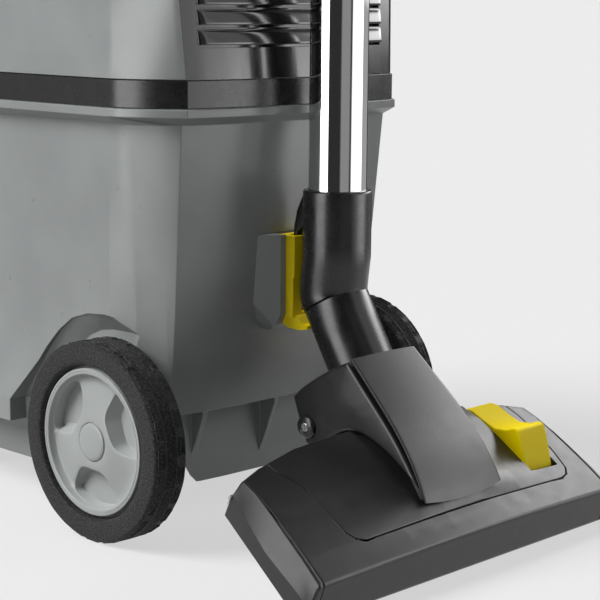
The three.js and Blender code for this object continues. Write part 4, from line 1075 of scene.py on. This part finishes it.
def coil_spring(node, name, wire, turns):
    """A wound spring in place of the sleeve that stands for it."""
    low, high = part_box(node)
    centre = (low + high) / 2 / MM
    radius = (high.x - low.x) / 2 / MM - wire / 2
    foot, length = low.z / MM + wire / 2, (high.z - low.z) / MM - wire
    steps = 24 * turns
    rings = []
    for i in range(steps + 1):
        t = i / steps
        turn = TAU * turns * t
        out = Vector((math.cos(turn), math.sin(turn), 0))
        middle = Vector((centre.x, centre.y, foot + length * t)) + out * radius
        rings.append([
            middle + out * wire / 2 * math.cos(TAU * k / 8) + Vector((0, 0, wire / 2 * math.sin(TAU * k / 8)))
            for k in range(8)
        ])
    coil = add_piece(name, prism(name, rings, 60), BODY_OF[node], "steel", [node])
    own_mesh(coil)


def pleated_filter():
    """Exhaust filter, folded in narrow pleats."""
    low, high = (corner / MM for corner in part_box("exhaust_filter"))
    pleats = 30
    outline = []
    for i in range(2 * pleats + 1):
        x = low.x + (high.x - low.x) * i / (2 * pleats)
        outline.append((x, low.y + (0.4 if i % 2 else 4.5)))
    back = [(x, high.y - 0.2) for x, _ in outline[::-1]]
    rings = [[(x, y, z) for x, y in outline + back] for z in (low.z, high.z)]
    add_piece("pleated_filter", prism("pleated_filter", rings, 20), "head", "fleece", ["exhaust_filter"])


def dust_bag():
    """Fleece bag, plump in the middle, with a welded seam round its waist."""
    low, high = (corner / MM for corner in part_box("filter_bag"))
    centre, half = (low + high) / 2, (high - low) / 2
    rings = []
    for i in range(1, 40):
        tilt = math.pi * i / 40 - math.pi / 2
        ring = []
        for k in range(96):
            turn = TAU * k / 96
            crease = 1 - 0.02 * (1 + math.sin(9 * turn + 3 * math.sin(2 * tilt))) * math.cos(tilt)
            seam = 0.97 + 0.03 * math.exp(-((tilt / 0.05) ** 2))
            out = Vector((math.cos(turn) * half.x, math.sin(turn) * half.y, 0)) * math.cos(tilt) * crease * seam
            ring.append(centre + out + Vector((0, 0, half.z * math.sin(tilt))))
        rings.append(ring)
    bag = add_piece("fleece_bag", prism("fleece_bag", rings, 60), "machine", "fleece", ["filter_bag"])


# ---------------------------------------------------------------- suction tube

TUBE_LOW, TUBE_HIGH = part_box("lower_tube")
TUBE_Y = (TUBE_LOW.y + TUBE_HIGH.y) / 2 / MM
TUBE_FOOT, TUBE_TOP = 172.0, 677.0
TUBE_BORE, TUBE_OUTSIDE = 16.5, 17.5
ELBOW_TOP = 211.4

# Where the elbow's axis kinks, its direction from there on, and the place of its swivel joint.
KINK = Vector((0, TUBE_Y + 2.9, 148.6))
ELBOW_DOWN = Vector((0, -math.sin(math.radians(31)), -math.cos(math.radians(31))))
SWIVEL = KINK + ELBOW_DOWN * 20.7 * math.tan(math.radians(15.5))


class VACUUM_OT_tubes(bpy.types.Operator):
    """Chromed tubes and the sleeve that joins them"""

    bl_idname = "vacuum.tubes"
    bl_label = "Tubes"

    def execute(self, context):
        bore, outside, foot, top = TUBE_BORE, TUBE_OUTSIDE, TUBE_FOOT, TUBE_TOP
        lower = [(bore, foot), (16.9, foot), (outside, foot + 0.6), (outside, top - 47), (17.7, top - 45),
                 (18.6, top - 41), (18.8, top - 39), (18.8, top - 1), (18.6, top - 0.3), (18.1, top),
                 (17.8, top - 0.3), (17.8, top - 40), (bore, top - 46)]
        a, b = (corner.z for corner in extent("upper_tube")[:2])
        upper = [(bore, a), (17.2, a), (outside, a + 0.5), (outside, b - 0.5), (17.2, b), (bore, b)]
        a, b = (corner.z for corner in extent("tube_sleeve")[:2])
        sleeve = [(19.1, a), (21.4, a), (22.0, a + 1), (22.1, a + 4), (21.6, a + 6), (21.9, a + 20), (22.2, b - 14),
                  (21.6, b - 10), (20.2, b - 2), (19.5, b), (17.9, b), (17.9, b - 15.4), (19.1, b - 15.6)]
        for name, profile, facets, slot, node in (
            ("chrome_tube_lower", lower, 128, "chrome", "lower_tube"),
            ("chrome_tube_upper", upper, 128, "chrome", "upper_tube"),
            ("sleeve_collar", sleeve, 96, "black_plastic", "tube_sleeve"),
        ):
            add_turned(name, profile, (0, TUBE_Y, 0), "wand", slot, [node], axis="z", facets=facets)
        return {"FINISHED"}


def elbow_spine():
    """Points down the upper elbow's axis, with its kink eased a little."""
    head = Vector((0, TUBE_Y, ELBOW_TOP))
    foot = Vector((0, TUBE_Y, TUBE_FOOT))
    before = foot.lerp(KINK, 0.55)
    after = KINK.lerp(SWIVEL, 0.5)
    spine = [Vector((0, TUBE_Y, ELBOW_TOP - lip)) for lip in (0, 0.3, 1.0, 1.9)]
    spine += line(head, foot, 6)[1:] + line(foot, before, 3)[1:]
    for i in range(1, 8):
        t = i / 8
        spine.append(before * (1 - t) ** 2 + KINK * 2 * t * (1 - t) + after * t * t)
    return spine + [after, SWIVEL]


class VACUUM_OT_elbows(bpy.types.Operator):
    """Upper elbow with its hook, and the lower elbow that swivels in it"""

    bl_idname = "vacuum.elbows"
    bl_label = "Elbows"

    def execute(self, context):
        spine = elbow_spine()
        outer = [19.6, 20.2, 20.55] + [20.7] * (len(spine) - 4) + [20.45]
        inner = [17.8] * (len(spine) - 8) + [TUBE_BORE] + [15.5] * 7
        add_tube("elbow_upper_body", spine, outer, inner, "wand", "black_plastic", ["upper_elbow"])
        hook_rib()
        spine = [SWIVEL + ELBOW_DOWN * down for down in (-7, -6.6, 0.3, 0.5, 0.9, 1.4, 20, 40, 60, 63.5, 64)]
        outer = [14.7, 15.1, 15.1, 19.6, 20.1] + [20.3] * 5 + [19.9]
        inner = [13.8] * 6 + [15.5] * 5
        add_tube("elbow_lower_body", spine, outer, inner, "swivel", "black_plastic", ["lower_elbow"])
        return {"FINISHED"}


def slab(name, outline, half):
    """An outline of (y, z), in the tub's own y, spread from -half to half along X."""
    return prism(name, [[(x, y + BODY_Y, z) for y, z in outline] for x in (-half, half)])


def add_plate(name, outline, half, round_off=0.5):
    """Adds a slab with rounded arrises to the suction tube."""
    bevel = {"width": round_off * MM, "segments": 3, "limit_method": "ANGLE", "angle_limit": math.radians(50)}
    mesh = applied(slab(name, outline, half), "BEVEL", **bevel)
    smooth(mesh, 40)
    add_piece(name, mesh, "wand", "black_plastic")


def hook_rib():
    """Flange and stem that hang in the parking clip."""
    flange = [(-184.2, 134.3), (-184.2, 177), (-187.6, 181), (-188, 188), (-190.6, 198), (-195.5, 207.5),
              (-198.5, 209), (-198.6, 190), (-190.2, 184), (-190.2, 134.3)]
    add_plate("elbow_hook_flange", flange, 7)
    add_plate("elbow_hook_stem", [(-186.4, 150.5), (-186.4, 196), (-199, 196), (-199, 150.5)], 3.4, 0.3)


class VACUUM_OT_hand_piece(bpy.types.Operator):
    """Bent hand piece and its air slider"""

    bl_idname = "vacuum.hand_piece"
    bl_label = "Hand piece"

    def execute(self, context):
        refine("hand_piece", "hand_grip", 0.8, sharp=40, angle=50)
        refine("air_slider", "air_slide_ring", 0.5, sharp=40, angle=50)
        return {"FINISHED"}


# ---------------------------------------------------------------- nozzle

PIVOT = Vector((0, -222.7 + BODY_Y, 71.2))

# The parked nozzle leans by 33 degrees: AHEAD leads from its pivot to its front edge, UP to its top.
AHEAD = Vector((0, -math.cos(math.radians(33)), -math.sin(math.radians(33))))
UP = Vector((0, -math.sin(math.radians(33)), math.cos(math.radians(33))))


def neck_half(y, z):
    """Half of the neck's width at a place seen from the side, in the machine's own y."""
    return 29 + 0.0354 * (-y - 222.7) + 0.0642 * (71.2 - z)


def eased(points, spacing):
    """A smooth curve through points, as points about one spacing apart."""
    result = []
    ends = [points[0] * 2 - points[1], *points, points[-1] * 2 - points[-2]]
    for a, b, c, d in zip(ends, ends[1:], ends[2:], ends[3:]):
        steps = max(1, round((c - b).length / spacing))
        for i in range(steps):
            t = i / steps
            bend = (a * 2 - b * 5 + c * 4 - d) * t**2 + (b * 3 - a - c * 3 + d) * t**3
            result.append((b * 2 + (c - a) * t + bend) / 2)
    return [*result, points[-1]]


def neck_shell():
    """Neck with soft cheeks that taper to its tip, hollow round the nozzle's arm."""
    upper = [(-251.9, 114.6), (-263.7, 103.4), (-276.2, 92.1), (-287, 82.2), (-295.5, 73.6), (-303.4, 64.6),
             (-309.4, 57.4), (-315.4, 49.9), (-318.6, 46.0)]
    under = [(-318.6, 46.0), (-314.2, 49.1), (-309.4, 53.0), (-303.6, 57.3), (-296.4, 62.0), (-287.4, 67.0),
             (-277, 71.4), (-266, 74.4), (-256, 74.6), (-247, 71.6), (-240, 66.0), (-234, 61.0), (-227, 58.8),
             (-221, 60.2)]
    rear = [(-221, 60.2), (-217.6, 66.5), (-213.8, 74), (-210, 81.8), (-207.9, 87)]
    top = [(-207.9, 87), (-213.3, 92.2), (-220.8, 97.6), (-228.3, 102.5), (-236, 107), (-244.3, 111.2),
           (-251.9, 114.6)]
    outline = []
    for stretch in (upper, under, rear, top):
        outline += eased([Vector(p) for p in stretch], 1.6)[:-1]
    count = len(outline)
    bm = bmesh.new()
    round_off, steps = 2.2, 5
    loops = []
    for side in (-1, 1):
        for k in range(steps + 1)[:: -side]:
            turn = math.pi / 2 * k / steps
            flat = drawn_in(outline, [round_off * (1 - math.sin(turn))] * count)
            drop = round_off * (1 - math.cos(turn))
            loops.append([(side * (neck_half(*p) - drop), p.x + BODY_Y, p.y) for p in flat])
    rows = skin(bm, loops)
    flat = drawn_in(outline, [round_off] * count)
    grid = [Vector((-318 + i * 4.8, 46 + j * 4.6)) for i in range(24) for j in range(16)]
    inner = [point for point in grid if inside(point, flat) and min((point - q).length for q in flat) > 2.0]
    edges = [(i, (i + 1) % count) for i in range(count)]
    made, _, triangles = delaunay_2d_cdt(flat + inner, edges, [], 1, 1e-4)[:3]
    for side, verts in ((-1, [*rows[0]]), (1, [*rows[-1]])):
        for p in made[count:]:
            reach = min((p - q).length for q in flat)
            half = neck_half(*p) + 1.3 * (1 - math.exp(-((reach / 9) ** 2)))
            verts.append(bm.verts.new(Vector((side * half, p.x + BODY_Y, p.y)) * MM))
        for triangle in triangles:
            bm.faces.new([verts[i] for i in triangle])
    room = [(-259, 104.5), (-270, 94), (-281, 83), (-287, 76), (-276, 77.5), (-256, 79.2), (-240, 45), (-214, 45),
            (-213.2, 70), (-212.6, 86), (-220, 92.5), (-232, 99), (-246, 104.5)]
    hollow = put("hollow", slab("hollow", room, 25))
    shell = mesh_of(bm, "neck_shell", 55)
    result = applied(shell, "BOOLEAN", operation="DIFFERENCE", object=hollow, solver="EXACT")
    bpy.data.objects.remove(hollow)
    smooth(result, 55)
    return result


def neck_lid():
    """Thin, bowed plate along the neck's upper edge; its tip ends in a shallow arc."""
    spine = [(-256.2, 117.4), (-263.5, 110.8), (-272.5, 102.6), (-282, 94.0), (-293, 83.3), (-303.2, 71.9),
             (-311, 61.3), (-316.4, 52.3), (-319.8, 45.4)]
    spine = eased([Vector(p) for p in spine], 1.5)
    length = sum((b - a).length for a, b in zip(spine, spine[1:]))
    rings, gone = [], 0.0
    shares = [math.sin(math.pi / 2 * i / 14) for i in range(-14, 15)]
    for i, point in enumerate(spine):
        before, after = spine[max(i - 1, 0)], spine[min(i + 1, len(spine) - 1)]
        tangent = (after - before).normalized()
        out = Vector((tangent.y, -tangent.x))
        gone += (point - before).length
        near = max(0.0, 1 - (length - gone) / 26)
        thick = 2.3 - 1.5 * max(0.0, 1 - (length - gone) / 2.4)
        top, under = [], []
        for share in shares:
            place = point + tangent * 3.3 * (1 - share * share) * near * near
            bow = 0.9 * (1 - share * share)
            edge = math.sqrt(max(0.0, 1 - (max(0.0, abs(share) - 0.965) / 0.035) ** 2))
            half = neck_half(*place) + 0.7
            crown = place + out * (bow - 0.5 * (1 - edge))
            foot = place + out * (bow - 0.5 - (thick - 0.5) * edge)
            top.append((share * half, crown.x + BODY_Y, crown.y))
            under.append((share * half, foot.x + BODY_Y, foot.y))
        rings.append(top + under[::-1])
    return prism("neck_lid", rings, 50)


class VACUUM_OT_neck(bpy.types.Operator):
    """Neck of the floor nozzle with its cover and pivot screws"""

    bl_idname = "vacuum.neck"
    bl_label = "Neck"

    def execute(self, context):
        add_piece("neck_shell", neck_shell(), "swivel", "dark_plastic", ["neck"])
        add_piece("neck_lid", neck_lid(), "swivel", "dark_plastic", ["neck_cover"])
        for side, sign in SIDES:
            node = f"pivot_screw_{side}"
            low, high, _ = extent(node)
            outer = max(abs(low.x), abs(high.x))
            cap = [(0.01, 18), (3.5, 18), (3.5, outer - 2.9), (7.2, outer - 2.9), (7.15, outer - 2.2),
                   (6.4, outer - 1.2), (5.0, outer - 0.5), (3.4, outer - 0.15), (3.1, outer - 0.3),
                   (3.0, outer - 0.9), (0.01, outer - 0.9)]
            bolt = [(0.01, outer - 1.2), (2.7, outer - 1.2), (2.7, outer - 0.5), (2.3, outer - 0.2),
                    (1.5, outer - 0.2), (1.3, outer - 0.7), (0.01, outer - 0.7)]
            for name, section, facets, slot, replaced in (
                (f"pivot_cap_{side}", cap, 64, "black_plastic", [node]),
                (f"pivot_bolt_{side}", bolt, 32, "steel", []),
            ):
                profile = [(r, sign * x) for r, x in section]
                add_turned(name, profile, (0, PIVOT.y, PIVOT.z), "swivel", slot, replaced, facets=facets)
        return {"FINISHED"}


def lift_plate(bm):
    """Lifts the nozzle's top to the neck's tip, and lets it fall to the seam in front of it."""
    for ahead in range(66, 114, 3):
        cut = (PIVOT + AHEAD * ahead) * MM
        bmesh.ops.bisect_plane(bm, geom=[*bm.verts, *bm.edges, *bm.faces], plane_co=cut, plane_no=AHEAD, dist=1e-6)
    for x in range(-90, 91, 12):
        cut, across = Vector((x * MM, 0, 0)), Vector((1, 0, 0))
        top = {f for f in bm.faces if 60 < (f.calc_center_median() / MM - PIVOT).dot(AHEAD) < 112}
        parts = [*top, *{e for f in top for e in f.edges}, *{v for f in top for v in f.verts}]
        bmesh.ops.bisect_plane(bm, geom=parts, plane_co=cut, plane_no=across, dist=1e-6)
    for vertex in bm.verts:
        place = vertex.co / MM - PIVOT
        ahead, height = place.dot(AHEAD), place.dot(UP)
        rise = 2.6 * math.exp(-(((ahead - 90) / 9) ** 2))
        fall = 2.0 * float(np.interp(ahead, [95, 101, 107, 116], [0, 1, 1, 0]))
        share = float(np.interp(height, [13, 17], [0, 1])) * math.exp(-((place.x / 58) ** 2))
        vertex.co += UP * (rise - fall) * share * MM


class VACUUM_OT_nozzle(bpy.types.Operator):
    """Floor nozzle: body, cover plate, end caps, sole plate and rollers"""

    bl_idname = "vacuum.nozzle"
    bl_label = "Nozzle"

    def execute(self, context):
        refine("nozzle_body", "nozzle_shell", 1.0, segments=3, sharp=30, shape=lift_plate)
        refine("nozzle_cover", "nozzle_lid", 0.4, sharp=40, shape=lift_plate)
        for side, _ in SIDES:
            refine(f"end_cap_{side}", f"nozzle_end_{side}", 0.9, segments=3)
            refine(f"roller_{side}", f"sole_wheel_{side}", 0.3)
        refine("sole_plate", "sole_sheet", 0.2)
        return {"FINISHED"}


class VACUUM_OT_pedal(bpy.types.Operator):
    """Foot pedal that shifts the brushes"""

    bl_idname = "vacuum.pedal"
    bl_label = "Pedal"

    def execute(self, context):
        refine("pedal", "foot_pedal", 1.3, segments=4, sharp=40)
        return {"FINISHED"}


class VACUUM_OT_brushes(bpy.types.Operator):
    """Brush carrier and its two strips of bristles"""

    bl_idname = "vacuum.brushes"
    bl_label = "Brushes"

    def execute(self, context):
        settings = context.scene.vacuum_brushes
        refine("brush_carrier", "brush_rail", 0.3)
        growth = grid_growth()
        turn = Matrix((Vector((1, 0, 0)), -AHEAD, UP)).transposed().to_4x4()
        low, tall, radius = -4.6, 6.3, 0.42
        sections = ((0.35, 0.15), (1, tall * 0.6), (1, tall - 0.3))
        rings = [[(*polar(radius * wide, TAU * k / 5), z) for k in range(5)] for wide, z in sections]
        strand = prism("strand", rings, 60)
        sizes = {
            "Columns": settings.columns,
            "Rows": 4,
            "Length": 0.214,
            "Width": 0.0038,
            "Lean": settings.lean * 0.4,
            "Finish": finish_of("bristle"),
        }
        for name, ahead in (("rear", 56), ("front", 96)):
            piece = f"brush_bristles_{name}"
            grown = growth.grow(strand, piece, **sizes)
            grown.transform(Matrix.Translation((PIVOT + AHEAD * ahead + UP * low) * MM) @ turn)
            smooth(grown, 60)
            add_piece(piece, grown, "brush", "bristle", [f"brush_strip_{name}"])
        return {"FINISHED"}


# ---------------------------------------------------------------- stage


CAMERA_PLACE = Vector((-762.893, -925.214 + 80.109, 325.288)) * MM
CAMERA_TURN = math.radians(45.93554)
CAMERA_DIP = math.radians(9.89526)
CAMERA_ROLL = math.radians(0.52864)
CAMERA_LENS = 104.52


def add_camera():
    """The camera at the photograph's viewing angle."""
    data = bpy.data.cameras.new("camera")
    data.sensor_width = 36
    data.lens = CAMERA_LENS
    data.clip_end = 1000
    flat = math.cos(CAMERA_DIP)
    view = Vector((math.sin(CAMERA_TURN) * flat, math.cos(CAMERA_TURN) * flat, -math.sin(CAMERA_DIP)))
    level = Vector((math.cos(CAMERA_TURN), -math.sin(CAMERA_TURN), 0))
    rise = level.cross(view)
    right = level * math.cos(CAMERA_ROLL) + rise * math.sin(CAMERA_ROLL)
    up = rise * math.cos(CAMERA_ROLL) - level * math.sin(CAMERA_ROLL)
    camera = put("camera", data)
    camera.matrix_world = Matrix((right, up, -view)).transposed().to_4x4()
    camera.location = CAMERA_PLACE
    bpy.context.scene.camera = camera


def add_sun(name, towards, power, spread, shadow=True):
    """A soft, even light from a direction; reflections see the tent in its place."""
    data = bpy.data.lights.new(name, "SUN")
    data.energy = power
    data.angle = math.radians(spread)
    data.use_shadow = shadow
    lamp = put(name, data)
    lamp.rotation_euler = Vector(towards).to_track_quat("Z", "Y").to_euler()
    lamp.visible_glossy = False


def bearing(degrees, elevation):
    """A direction by its bearing to the right of the camera, seen from the tube, and its height."""
    turn, rise = math.radians(degrees), math.radians(elevation)
    towards = Vector((-math.sin(CAMERA_TURN), -math.cos(CAMERA_TURN), 0))
    right = Vector((math.cos(CAMERA_TURN), -math.sin(CAMERA_TURN), 0))
    flat = towards * math.cos(turn) + right * math.sin(turn)
    return flat * math.cos(rise) + Vector((0, 0, math.sin(rise)))


def add_tent():
    """A round tent of white panels and dark gaps, which only reflections see."""
    radius, foot, top = 0.95, -0.2, 2.2
    steps = 96
    bm = bmesh.new()
    sections = ((radius, foot), (radius, top), (radius * 0.5, top + 0.5), (0.01, top + 0.6))
    rings = [[bm.verts.new((*polar(r, TAU * i / steps), z)) for i in range(steps)] for r, z in sections]
    for low, high in zip(rings, rings[1:]):
        bridge(bm, high, low)
    mesh = bpy.data.meshes.new("tent")
    bm.to_mesh(mesh)
    bm.free()
    finish = Finish("tent")
    across, height = finish.axis("X"), finish.axis("Z")
    deep = finish.axis("Y") - TUBE_Y * MM
    towards, right = bearing(0, 0), bearing(90, 0)
    ahead = across * towards.x + deep * towards.y
    aside = across * right.x + deep * right.y
    angle = finish.math("ARCTAN2", aside, ahead) * (180 / math.pi)
    whole = 1 - height.between(1.0, 1.4)
    below = 1 - height.between(0.32, 0.46) * 0.78
    above = height.between(0.3, 0.45) * (1 - height.between(0.6, 0.8))
    glow = height.between(1.9, 2.7) * 0.25 + 0.03
    for start, end, soft, part, strength in (
        (-108, -73, 2, whole, 0.5),
        (-73, -42, 2, whole, 5.5),
        (8, 43, 3, whole, 0.25),
        (51, 70, 2, whole, 1.3),
        (70, 101, 5, below, 4.6),
        (101, 150, 2, whole, 0.35),
        (102, 152, 4, above, 6.5),
    ):
        panel = angle.between(start - soft, start + soft) * (1 - angle.between(end - soft, end + soft))
        glow = glow + panel * part * strength
    light = finish.make("ShaderNodeEmission", inputs={"Strength": glow})
    finish.feed(finish.tree.nodes["Material Output"], "Surface", light)
    mesh.materials.append(finish.material)
    tent = put("tent", mesh)
    for ray in ("camera", "diffuse", "shadow", "transmission", "volume_scatter"):
        setattr(tent, f"visible_{ray}", False)


def world_light(strength, backdrop):
    """The world lights the object with strength, and shows the backdrop where it is seen."""
    world = bpy.data.worlds.new("studio")
    bpy.context.scene.world = world
    world.use_nodes = True
    studio = Nodes(world.node_tree)
    studio.tree.nodes.clear()
    lit = studio.make("ShaderNodeBackground", inputs={"Color": (1, 1, 1, 1), "Strength": strength})
    shown = studio.make("ShaderNodeBackground", inputs={"Color": (*backdrop, 1)})
    mixed = studio.make("ShaderNodeMixShader", inputs={0: studio.seen(), 1: lit, 2: shown})
    studio.feed(studio.tree.nodes.new("ShaderNodeOutputWorld"), "Surface", mixed)


def add_floor(color):
    """A wide floor that looks like the backdrop, and throws little light back up."""
    reach = 400
    mesh = bpy.data.meshes.new("floor")
    corners = [(-reach, -reach, 0), (reach, -reach, 0), (reach, reach, 0), (-reach, reach, 0)]
    mesh.from_pydata(corners, [], [(0, 1, 2, 3)])
    finish = Finish("floor", roughness=0.9, specular_ior_level=0.0, emission_strength=1.0)
    seen = finish.seen()
    finish.color(finish.mix(seen, shade(color, 0.3), shade(color, 0.27)))
    finish.link("Emission Color", finish.mix(seen, (0.0, 0.0, 0.0), shade(color, 0.6)))
    mesh.materials.append(finish.material)
    put("floor", mesh)


class VACUUM_OT_stage(bpy.types.Operator):
    """Pale floor, soft studio light and the camera"""

    bl_idname = "vacuum.stage"
    bl_label = "Stage"

    def execute(self, context):
        settings = context.scene.vacuum_stage
        context.scene.view_settings.view_transform = "Standard"
        add_camera()
        add_floor(tuple(settings.backdrop))
        world_light(settings.ambient, tuple(settings.backdrop))
        add_sun("side_light", bearing(-76, 40), settings.side_light, 34)
        add_sun("rear_light", bearing(96, 30), settings.rear_light, 24)
        add_sun("far_light", bearing(176, 34), settings.far_light, 20, shadow=False)
        add_tent()
        return {"FINISHED"}


class VACUUM_PT_pieces(bpy.types.Panel):
    """Lists the pieces that can be built"""

    bl_label = "Tub vacuum cleaner"
    bl_idname = "VACUUM_PT_pieces"
    bl_space_type = "VIEW_3D"
    bl_region_type = "UI"
    bl_category = "Vacuum"

    def draw(self, context):
        for operator in OPERATORS:
            self.layout.operator(operator.bl_idname)
        for name in SETTINGS:
            group = getattr(context.scene, name)
            for key in group.__annotations__:
                self.layout.prop(group, key)


OPERATORS = [
    VACUUM_OT_stage,
    VACUUM_OT_tub,
    VACUUM_OT_parking,
    VACUUM_OT_tyres,
    VACUUM_OT_hubs,
    VACUUM_OT_running_gear,
    VACUUM_OT_head,
    VACUUM_OT_rear_panel,
    VACUUM_OT_fittings,
    VACUUM_OT_inner_works,
    VACUUM_OT_tubes,
    VACUUM_OT_elbows,
    VACUUM_OT_hand_piece,
    VACUUM_OT_neck,
    VACUUM_OT_nozzle,
    VACUUM_OT_pedal,
    VACUUM_OT_brushes,
]
SETTINGS = {
    "vacuum_wheels": VacuumWheelSettings,
    "vacuum_louvres": VacuumLouvreSettings,
    "vacuum_brushes": VacuumBrushSettings,
    "vacuum_stage": VacuumStageSettings,
}


def register():
    for cls in [*SETTINGS.values(), *OPERATORS, VACUUM_PT_pieces]:
        bpy.utils.register_class(cls)
    for name, cls in SETTINGS.items():
        setattr(bpy.types.Scene, name, bpy.props.PointerProperty(type=cls))


def unregister():
    for name in SETTINGS:
        delattr(bpy.types.Scene, name)
    for cls in reversed([*SETTINGS.values(), *OPERATORS, VACUUM_PT_pieces]):
        bpy.utils.unregister_class(cls)


def main():
    register()
    for operator in OPERATORS:
        group, name = operator.bl_idname.split(".")
        getattr(getattr(bpy.ops, group), name)()


if __name__ == "__main__":
    main()
